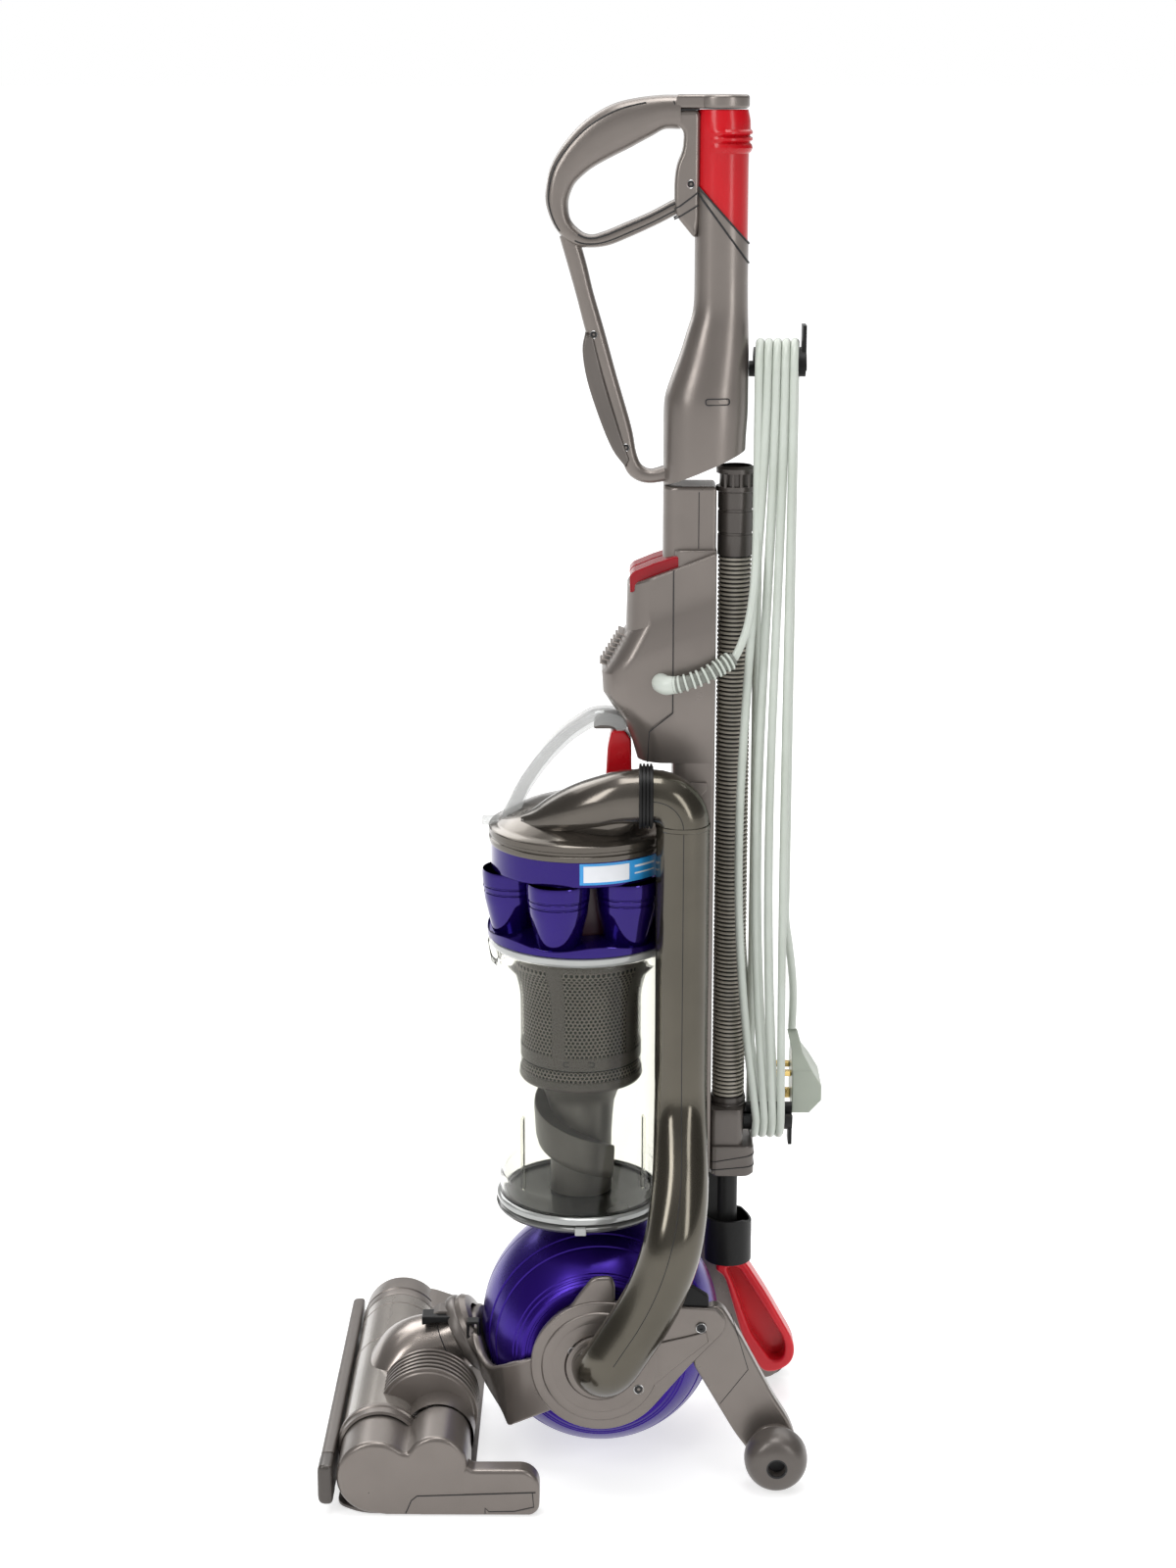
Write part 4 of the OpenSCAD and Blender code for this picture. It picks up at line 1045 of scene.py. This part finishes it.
def make_shroud():
    """The flared shroud: panels of fine holes, solid strips between them and a lower skirt, with a black
    sheet inside that is painted shade behind the holes.
    """
    panels = [(-88, -26), (-17, 50), (59, 126), (135, 202), (211, 263)]
    holes = [perforated(340, 414, a, b) for a, b in panels]
    holes += [perforated(319.5, 330, a, b) for a, b in ((-89, 89), (91, 269))]
    wall = [bin_lathe([(flare(z), z) for z in (413, 416, 419, 422, 424.6)] + [(56, 424.8)]),
            bin_lathe([(48, 329.8), (48.4, 330.2), (48.4, 340.2), (48, 340.6)]),
            bin_lathe([(48, 320), (48.8, 319.4), (49.4, 314), (48, 311.6), (44, 311)])]
    for i, (a, b) in enumerate(panels):
        after = panels[(i + 1) % 5][0] + (360 if i == 4 else 0)
        strip = [(flare(z) + 0.1, z) for z in range(340, 416, 5)]
        wall.append(bin_lathe(strip, 10, span=(b - 1.5, after + 2.5)))
    show("shroud_wall", join(*wall), "shroud_dark", "cyclone", "bin_shroud", angle=30)
    show("shroud_mesh", join(*holes), "shroud_dark", "cyclone", finish="mesh_grey", angle=60)
    # A black sheet just inside the wall: painted shade for the hollow behind the holes
    inner_shade = bin_lathe([(flare(z) - 2, z) for z in range(318, 424, 5)], 72)
    show("shroud_inner_shade", inner_shade, "dark_plastic", "cyclone", finish="painted_shade_black")
    slot = rounded([(-29, 333.6), (-5, 333.6), (-5, 337.2), (-29, 337.2)], 1.6)
    proud = SHROUD_R + 0.5
    bent = [(math.sqrt(max(0, proud ** 2 - (y - BIN_Y) ** 2)), y, z) for y, z in slot]
    show("shroud_slot", rod(bent + bent[:1], 0.5), "rubber_dark", "cyclone")


def make_inner_cone():
    """The dust cone under the shroud, and the broad blade that winds down it."""
    cone = bin_lathe([(42, 313), (40, 310), (31, 301), (27, 290), (25.6, 276), (24.8, 262), (24.4, 233),
                      (25, 214.4)], 64)
    blade = []
    for i in range(61):
        t = i / 60
        a = math.radians(-150 + 196 * t)
        top = 303 - 44 * t
        low = 266 - 36 * t
        ring = [(22, top), (36, top + 0.5), (37.4, top), (37.8, top - 3), (36.6, low + 8),
                (35, low + 2), (33, low), (22, low)]
        blade.append([bin_point(r, a, z) for r, z in ring])
    show("inner_cone_body", join(cone, skin(blade)), "shroud_dark", "cyclone", "inner_cone",
         finish="cone_grey")


def make_bin():
    """The clear tub with its two outer ribs, its rims and gasket, and the lug at its front."""
    outer = [(64.6, 211.4), (65.8, 212), (65.8, 214), (65.2, 216), (65.6, 224), (65.9, 227.4),
             (65.5, 229), (64.9, 232), (64.9, 408), (65.4, 411), (66.8, 413), (67.6, 416), (67.6, 420),
             (66.4, 421.6)]
    inner = [(64.6, 421.6), (64.4, 414), (62.6, 408), (62.6, 232), (62.6, 212)]
    tub = bin_lathe(outer + inner, 120, closed=True)
    rib = ((64.4, 229), (66.6, 231), (66.6, 289), (64.4, 292))
    ribs = []
    for angle in (-44, 50):
        sides = [math.radians(angle) + turn for turn in (-0.02, 0.02)]
        ribs.append(skin([[bin_point(r, a, z) for r, z in rib] for a in sides]))
    show("bin_tub", join(tub, *ribs), "clear_plastic", "cyclone", "clear_bin")
    top = bin_lathe([(66, 421.6), (69, 422), (72, 424), (73.4, 426.4), (73.4, 429.6), (72.4, 430.4),
                     (66, 430.4)], 120)
    low = bin_lathe([(65.2, 207.4), (67.6, 207.8), (68, 209), (68, 211.6), (66.6, 213), (65.2, 213.4)], 120)
    show("bin_rims", join(top, low), "clear_plastic", "cyclone", finish="lip_pale")
    show("bin_gasket", bin_lathe([(62, 425), (66.5, 425), (66.5, 421.8), (62, 421)]), "rubber_dark",
         "cyclone")
    lug = slab([(-90.8, 426), (-88.9, 415), (-87, 408), (-82, 404), (-80.5, 426)], 2, (-10, 10), 1.4)
    show("bin_lug", lug, "clear_plastic", "cyclone")


def make_base():
    """The hinged floor with its dark seal and its outer lip, and the clip at its side."""
    profile = [(0.01, 203.5), (28, 203.5), (30, 200.6), (60, 200.4), (63, 201.4), (64, 203), (64, 207),
               (60.8, 208), (60.4, 211.5), (14, 212), (12, 215), (0.01, 215.4)]
    show("bin_floor", bin_lathe(profile), "clear_plastic", "bin_door", "bin_base", finish="floor_dark")
    lip = bin_lathe([(63, 200.6), (67, 201), (68.6, 203), (68.6, 204.6), (66.6, 206.4), (64, 207)])
    show("bin_lip", lip, "clear_plastic", "bin_door", finish="lip_grey")
    seal = bin_lathe([(59, 208.4), (62.3, 208.8), (62.3, 213), (59, 213.4)])
    show("bin_seal", seal, "rubber_dark", "bin_door")
    clip = box_shape((66, -20, 199.8), (70.4, -11, 206.6), 1)
    show("bin_clip", clip, "clear_plastic", "bin_door", finish="lip_pale")


# ---------- ball, yoke and stand ----------


def make_ball():
    """The two halves of the ball, with grooves and a rim round each end."""
    # Radius of each groove about the axle, and its depth
    grooves = ((90, 1.0), (84, 0.9), (69, 0.7), (66, 0.7))
    profile = [(95.2, 0.15), (96.4, 0.2), (BALL_R, 0.8)]
    for i in range(3, 100):
        turn = i * 0.5
        reach = BALL_R
        for radius, depth in grooves:
            if abs(turn - math.degrees(math.acos(radius / BALL_R))) < 0.8:
                reach -= depth
        profile.append((reach * math.cos(math.radians(turn)), reach * math.sin(math.radians(turn))))
    profile += [(62.4, 74), (60, 74), (59.6, 73.2), (58, 73.2), (57.6, 74), (52, 74), (52, 71)]
    half = lathe(profile, AXLE, "x", 144)
    show("ball_skin_near", half, "ball_indigo", "ball", "ball_shell_near", angle=24)
    show("ball_skin_far", mirror_x(half), "ball_indigo", "ball", "ball_shell_far", angle=24)


def make_covers():
    """The stand's side covers, each with a stepped disc and an arm, and the bump above it."""
    arm = arc((85, 133), 14, 90, -36, 8)
    disc = arc(HUB, 55, -37.5, -274.2, 48)
    hole = arc(HUB, 27.5, 0, 350, 36)
    skirt = plate([arm + [(70, 96)] + disc, hole], (83, 89.4), 1.6)
    rise = arc(HUB, 46, -20, -325, 40) + [(46, 118), (70, 124), (84, 128), (86, 119), (56, 93)]
    raised = plate([rise, hole], (88, 91), 1.2)
    step = lathe([(46.6, 89.2), (46, 90.6), (44.8, 91.3), (38.6, 91.3), (37.4, 90.4), (36.8, 89.2)],
                 AXLE, "x", 96)
    bump = slab([(-28, 140), (-16, 158, 5), (-6, 171.5, 5), (9, 172.5, 4), (12, 166), (12, 140)], 3,
                (81, 87.5), 2.6)
    tab = slab([(60, 148), (64, 164), (72, 165), (86, 156), (86, 147)], 2, (80, 87), 1.5)
    near = join(skirt, raised, step, bump)
    show("cover_near", near, "grey_plastic", "stand", "side_cover_near")
    show("cover_far", mirror_x(near), "grey_plastic", "stand", "side_cover_far")
    show("cover_latch", tab, "dark_plastic", "stand")
    rims, sockets = screw_shapes([(90.9, y, z, 3.1) for y, z in ((-21, 110), (80, 131), (31, 78))])
    show("cover_screw_rims", both(rims), "steel", "stand")
    show("cover_screw_heads", both(sockets), "screw_black", "stand")


# The leg's outline: y, z and corner radius
LEG = [(74, 96, 4), (77, 140, 6), (90, 147, 6), (98, 144, 5), (113, 118, 6), (138, 69, 6), (152, 46, 8),
       (158, 28, 12), (150, 12, 10), (139, 8, 8), (124, 14, 8), (108, 36, 8)]


def make_stand():
    """The two legs with their grooves and axle sleeves, and the two domed wheels, each with a black disc in
    its bore that is painted shade for the hole.
    """
    leg = slab(LEG, 5, (70, 83.2), 2.6)
    sleeve = lathe([(20, 82.6), (19.5, 86), (15, 90), (9, 93), (9, 93.8)], WHEEL_AXIS, "x", 56)
    groove = rod([(83.2, 96, 62), (83.35, 118, 92), (83.2, 104, 140)], 0.3, 6)
    near = join(leg, sleeve)
    show("leg_near", near, "grey_plastic", "stand", "stand_leg_near")
    show("leg_far", mirror_x(near), "grey_plastic", "stand", "stand_leg_far")
    show_lines("leg_grooves", [both(groove)], "stand")
    profile = [(7.2, 94.1), (21, 94.1), (24, 96), (25, 99), (25, 104), (24.4, 109), (22.6, 114),
               (19.4, 118.2), (14, 120.9), (8.4, 121.9), (7, 121.4), (6.8, 119), (6.8, 112),
               (0.01, 112)]
    tread_points = 10  # the profile is smooth up to the hub's edge, and sharp from there
    wheel = lathe(smooth(profile[:tread_points], 3) + profile[tread_points:], WHEEL_AXIS, "x")
    show("wheel_domes", both(wheel), "dark_plastic", "wheels", "stand_wheels", finish="grey_shade")
    bush = lathe([(6.9, 112.4), (6.9, 121.5), (8.2, 122), (8, 121.6)], WHEEL_AXIS, "x", 40)
    # A black disc closes each wheel's bore: painted shade for the inside of the hole
    bore_shade = lathe([(6.7, 112.6), (0.01, 112.6)], WHEEL_AXIS, "x", 32)
    show("wheel_bushes", both(join(bush, bore_shade)), "rubber_dark", "wheels")


def make_pedal():
    """The red pedal, a chute with a raised rim."""
    outer = rounded([(96, 118, 3), (99, 127, 4), (113, 129.5, 5), (122, 124, 6), (140, 95, 10),
                     (164, 51, 12), (163, 35, 9), (152, 26, 9), (137, 24, 9), (119, 58, 10),
                     (104, 112, 8)], 6, 5)
    inner = rounded([(105, 120, 3), (115, 121, 4), (133, 92, 8), (156, 53, 9), (155, 38, 7), (145, 34, 6),
                     (126, 62, 8), (110, 108, 6)], 4, 5)
    back = -69.2
    rim = plate([outer, inner], (back, back + 20), 2.4)
    floor = plate([outer], (back, back + 4.2), 1.6)
    show("pedal_chute", join(rim, floor), "red_plastic", "pedal", "stand_pedal", finish="red_satin")


def make_yoke():
    """The yoke: a band that runs low round the ball's front to a ring at each side, and its neck."""
    # Along the band: x, y, its lower and upper edge, and half its thickness
    stations = [(0, -105, 56, 102, 4.2), (14, -104.4, 54, 101, 4.2), (28, -101.4, 48, 97, 4.2),
                (42, -96, 38, 84, 4), (56, -88.6, 33, 82, 4), (68, -79, 35, 88, 3.4),
                (75, -69, 40, 94, 3), (78, -58, 46, 98, 3), (78.5, -44, 52, 103, 3),
                (78.5, -30, 58, 110, 3)]
    rings = []
    for x, y, low, high, half in smooth(stations, 5):
        lean = 1 - 0.12 * x / 78
        across = Vector((x * 0.9, y, 0)).normalized() if x < 72 else Vector((1, -0.15, 0)).normalized()
        section = rounded([(half, low), (half, high), (-half, high), (-half, low)], min(half * 0.9, 3.4), 4)
        fall = (1 - min(1, x / 75) ** 4) / 175  # below the axle, the band follows the ball's curve back
        rings.append([(x + across.x * d, y + across.y * d * lean + fall * max(0, BALL_R - z) ** 2, z)
                      for d, z in section])
    disc = plate([arc(HUB, 46, 0, 352.5, 48), arc(HUB, 26.4, 0, 350, 36)], (75.6, 81.4), 1.4)
    show("yoke_band", join(both(skin(rings)), both(disc)), "grey_plastic", "yoke", "yoke_cradle")
    collar = neck_lathe([(29.2, -2), (31.6, -1), (33, 1), (33, 6), (31.8, 7.6), (29.2, 8)])
    show("yoke_collar", collar, "dark_plastic", "yoke", "neck_collar", finish="grey_shade")
    cup = neck_lathe([(24.6, -1), (29.6, 0), (30.6, 4), (31, 12), (28, 16), (20, 17)])
    show("yoke_socket", cup, "grey_plastic", "yoke")


def neck_lathe(profile):
    """Turns a profile about the neck's sloping swivel axis."""
    points, faces = lathe(profile, (0, 0, 0), steps=64)
    c, s = math.cos(NECK_SLOPE), math.sin(NECK_SLOPE)
    foot_y, foot_z = NECK_FOOT
    return [(x, foot_y + y * c + z * s, foot_z - y * s + z * c) for x, y, z in points], faces


# ---------- cleaner head ----------


def on_floor(shape):
    """The shape with what would reach below the floor flattened onto it."""
    return [(x, y, max(z, 0.3)) for x, y, z in shape[0]], shape[1]


def tube_band(x):
    """A thin ring round the brush tube at x."""
    profile = [(31.8, x - 0.5), (33.3, x - 0.1), (33.3, x + 0.1), (31.8, x + 0.5)]
    return lathe(profile, BRUSH_AXIS, "x")


def make_bumper():
    """The strip along the head's front, and its heavier end."""
    section = rounded([(-219, 10, 5), (-219, 43, 5), (-208.4, 43, 3), (-208.4, 9.5, 3)], 3, 4)
    strip = plate([section], (-154.6, 130), 1.2)
    end = slab([(-219.6, 9.5, 7), (-219.6, 43.6, 7), (-208, 43.6, 4), (-208, 9.5, 4)], 3,
               (130.4, 154.8), 3.6, corner_steps=5)
    show("bumper_bar", strip, "dark_plastic", "head", "bumper_strip", finish="grey_shade")
    show("bumper_end", end, "dark_plastic", "head", finish="grey_deep")


def make_tube():
    """The see-through tube round the brush, with its collar, and the ringed cap at its far end."""
    tube = lathe([(33, -112.5), (33, 96), (31, 96), (31, -112.5)], BRUSH_AXIS, "x", 96, closed=True)
    show("brush_tube", tube, "clear_plastic", "head", "brush_housing", finish="tube_smoke")
    cap = lathe([(0.01, -154.6), (26, -154.6), (30.6, -153), (32, -150), (32, -130), (33.4, -129),
                 (33.5, -126), (32.4, -125), (32.4, -123.6), (33.5, -122.4), (33.5, -115),
                 (33.2, -112.6), (31.2, -112.6)], BRUSH_AXIS, "x", 96)
    foot = slab([(-176, 3.2), (-118, 3.2), (-112, 12), (-112, 34), (-120, 44), (-148, 54), (-176, 54)], 5,
                (-153.6, -113.2), 3)
    show("far_cap", on_floor(join(cap, foot)), "grey_plastic", "head", "head_end_cap")
    bands = [tube_band(x) for x in (-30, -96, 92.5)]
    show("tube_bands", on_floor(join(*bands)), "grey_plastic", "head", finish="grey_pale")


def make_near_cover():
    """The near cover, with a lobe over the brush's end, one over the belt, and a long foot."""
    outline = arc((-174.5, 32.4), 30.6, 258, 50, 30)
    outline += [(-151.4, 54.4), (-149.4, 54.2), (-147.4, 56.4)]
    outline += arc((-127, 43), 24.6, 136, 0, 16)
    outline += [(-102, 30), (-103, 0.5), (-166, 0.5)]
    lobes = plate([outline], (97.2, 154.6), 4.5, steps=5)
    toe = [(-140, 0.5), (-140, 36), (-108, 41), (-102.6, 42.6), (-99, 40.2), (-96, 39.8)]
    toe += arc((-62, 24.4), 15.6, 90, 0, 8) + arc((-56, 10), 9.4, 0, -80, 5)
    shell = join(lobes, plate([toe], (136, 154.5), 4, steps=5))
    collar = lathe([(31.8, 95), (34.6, 95.4), (34.6, 99), (33.4, 100), (33.4, 108), (31.4, 109)],
                   BRUSH_AXIS, "x", 72)
    show("near_cover", on_floor(join(shell, collar)), "grey_plastic", "head", "belt_cover")
    # Seams of the foot's panel, on the cover's outer face
    split = [(154.7, -151, 3), (154.75, -146.5, 14), (154.75, -142, 18), (154.75, -49.5, 21.5)]
    panel = [(154.75, -52, 21), (154.75, -51, 9), (154.6, -66, 5.2), (154.6, -86, 4.8), (154.6, -89, 8),
             (154.6, -89, 3)]
    show("near_cover_seams", join(rod(split, 0.45, 6), rod(panel, 0.4, 6)), "rubber_dark", "head")


def make_motor_cover():
    """The brush motor's barrel, the ribbed cowl round it, and the deck behind the brush tube. The cowl's
    body is black, as painted shade in the gaps between its grey ribs.
    """
    barrel = lathe([(20, 70), (27.6, 71), (28, 74), (28, 100)], (0, -128, 41), "x", 72, span=(-124, 146))
    show("motor_barrel", barrel, "grey_plastic", "head")
    ribs = []
    for i in range(6):
        x = 39.4 + 6.8 * i
        rib = [(33, x), (39.4, x + 0.1), (40, x + 0.6), (40, x + 2), (39.4, x + 2.5), (33, x + 2.6)]
        ribs.append(lathe(rib, COWL_AXIS, "x", 64, span=(-55, 178)))
    # The cowl's body shows between the grey ribs; it is black as painted shade in those gaps
    body = lathe([(33, 38.4), (36, 38.8), (36.4, 39.8), (36.4, 73.6)], COWL_AXIS, "x", 64)
    end = lathe([(36.6, 73.4), (37.4, 73.8), (37.4, 76.6), (36.4, 77.6), (10, 78.4)], COWL_AXIS, "x", 64)
    show("motor_cowl_gap_shade", body, "dark_plastic", "head", "brush_motor_cover")
    show("motor_ribs", join(end, *ribs), "grey_plastic", "head")
    deck = slab([(-155, -150), (-155, -112), (-60, -112), (-50, -104), (50, -104), (60, -112),
                 (97, -112), (97, -150)], 5, (4, 16), 2, "z")
    show("head_deck", deck, "dark_plastic", "head", finish="grey_shade")


def make_sole():
    """The thin plate under the head, with the long window of the brush."""
    edge = rounded([(-150, -206), (136, -206, 8), (150, -186, 12), (150, -52), (139, -52), (139, -100),
                    (-150, -100)], 3, 4)
    window = rounded([(-111, -197), (95, -197), (95, -151), (-111, -151)], 4, 4)
    show("sole_plate", plate([edge, window], (0.3, 3), 0.6, "z"), "dark_plastic", "head", "soleplate",
         finish="grey_shade")


def make_neck():
    """The elbow that rises out of the brush tube, the clip and bar on it, and the yoke's latch."""
    path, sizes = bar_line([(-176, 42, 22, 44), (-168, 50, 26, 43), (-158, 58.5, 29.5, 39),
                            (-147, 65, 30, 34), (-136, 70.4, 28, 29.5), (-124, 76, 25.6, 26.5),
                            (-113.4, 81.2, 24.6, 25)])
    show("neck_hood", sweep(path, sizes, 48, power=2.3), "grey_plastic", "neck", "neck_elbow",
         finish="grey_bright")
    point, _, side, across = frames(path, (1, 0, 0))[-6]
    a, b = (size + 0.1 for size in sizes[-6])
    ring = [tuple(point + side * a * u + across * b * v) for u, v in oval(40, 2.3)]
    show("neck_seam", rod(ring + ring[:1], 0.45, 6), "rubber_dark", "neck")
    latch = rounded([(-109, 82), (-98, 82), (-98, 107), (-109, 107)], 2)
    gap = rounded([(-106.8, 95), (-100.4, 95), (-100.4, 104.6), (-106.8, 104.6)], 1.2)
    show("neck_latch", plate([latch, gap], (20, 30), 1), "dark_plastic", "yoke")
    clip = slab([(-146, 99), (-146, 106.5), (-120.4, 106.5), (-120.4, 102), (-138, 101)], 1.2, (4, 20), 1)
    show("neck_clip", clip, "dark_plastic", "neck")
    bar = slab([(-141, 104), (-132, 109.4), (-119.4, 109), (-119.4, 104)], 1.5, (-2, 14), 1.2)
    show("neck_bar", bar, "grey_plastic", "neck", finish="grey_shade")


def soften(*names):
    """Rounds the edges of the CAD nodes that stay."""
    for name in names:
        obj = frame["nodes"][name]
        obj.modifiers.new("weld", "WELD").merge_threshold = 2e-6
        bevel = obj.modifiers.new("edges", "BEVEL")
        bevel.width = 0.0009
        bevel.segments = 3
        bevel.limit_method = "ANGLE"
        bevel.angle_limit = math.radians(38)
        obj.modifiers.new("even_shading", "WEIGHTED_NORMAL").keep_sharp = True


# ---------- mains lead ----------

CORD_D = 6.5
WIND_LOW = 281        # heights of the centres of the winding's round ends
WIND_HIGH = 876
WIND_R = 19.75        # half width of the winding, to the middle of the lead
WIND_FRONT = 118      # middle of the first strand
WIND_PITCH = 6.56     # from one strand to the next
LEAD_IN = [(42, 101, 661), (41, 104, 666), (39.5, 107.5, 674), (37.5, 111, 684), (34.5, 113.8, 697),
           (31, 115.8, 712), (27, 117, 728), (23.5, 117.7, 744), (21, 118, 762), (19.8, 118, 780)]
LEAD_OUT = [(-19.8, 147.4, 440), (-20.5, 148.5, 428), (-22.5, 150.5, 416), (-26, 152.5, 402),
            (-31, 154.5, 386), (-35, 155.8, 370), (-37.5, 156, 354), (-38, 155.5, 337)]
# How far the strands of each turn bow, towards their low end: along Y, and outward
BOWS = [(0, 0), (-17, 5), (-10, 1.5), (-7, 6), (-1.5, 1)]


def winding():
    """The lead's route from the end of LEAD_IN to the start of LEAD_OUT: five turns, each of a
    strand up the near side and one down the far side."""
    route, steps, tall = [], 24, WIND_HIGH - WIND_LOW
    strands = [(turn, side) for turn in range(len(BOWS)) for side in (1, -1)]
    for number, (turn, side) in enumerate(strands):
        last = number == len(strands) - 1
        start = WIND_FRONT + number / 2 * WIND_PITCH
        bow, out = BOWS[turn]
        low = LEAD_IN[-1][2] if number == 0 else LEAD_OUT[0][2] if last else -math.inf
        for i in range(steps + 1):
            up = i / steps if side > 0 else 1 - i / steps
            height = WIND_LOW + tall * up
            if height < low + 8:
                continue
            sag = 0 if last else math.sin(math.pi * ((WIND_HIGH - height) / tall) ** 1.5)
            route.append((side * (WIND_R + out * sag), start + bow * sag, height))
        if last:
            return route
        centre = WIND_HIGH if side > 0 else WIND_LOW
        for i in range(1, 12):
            a = math.pi * i / 12
            y = start + (1 - math.cos(a)) / 2 * WIND_PITCH / 2
            route.append((side * WIND_R * math.cos(a), y, centre + side * WIND_R * math.sin(a)))


def make_cord():
    """The mains lead, from its strain relief to its plug."""
    points = [at(*p) for p in LEAD_IN + winding() + LEAD_OUT]
    route = smooth(points, 3)
    lead = tube_curve("mains_lead", route, CORD_D / 2 * MM, materials["lead_grey"])
    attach(lead, "main")
    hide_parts("cord_ends", "cord_winding")


add_camera()
materials = make_materials()
add_studio()
dress_nodes()
make_cord()
make_handle()
make_wand()
make_collar()
make_body_screws()
make_spine()
make_buttons()
make_hose()
make_rear()
make_relief()
make_duct()
make_cyclone_cap()
make_cones()
make_stickers()
make_carry_handle()
make_shroud()
make_inner_cone()
make_bin()
make_base()
make_ball()
make_covers()
make_stand()
make_pedal()
make_bumper()
make_tube()
make_near_cover()
make_motor_cover()
make_neck()
make_yoke()
make_sole()
soften("rear_tube", "lower_hook", "upper_hook", "plug_body", "plug_pins")
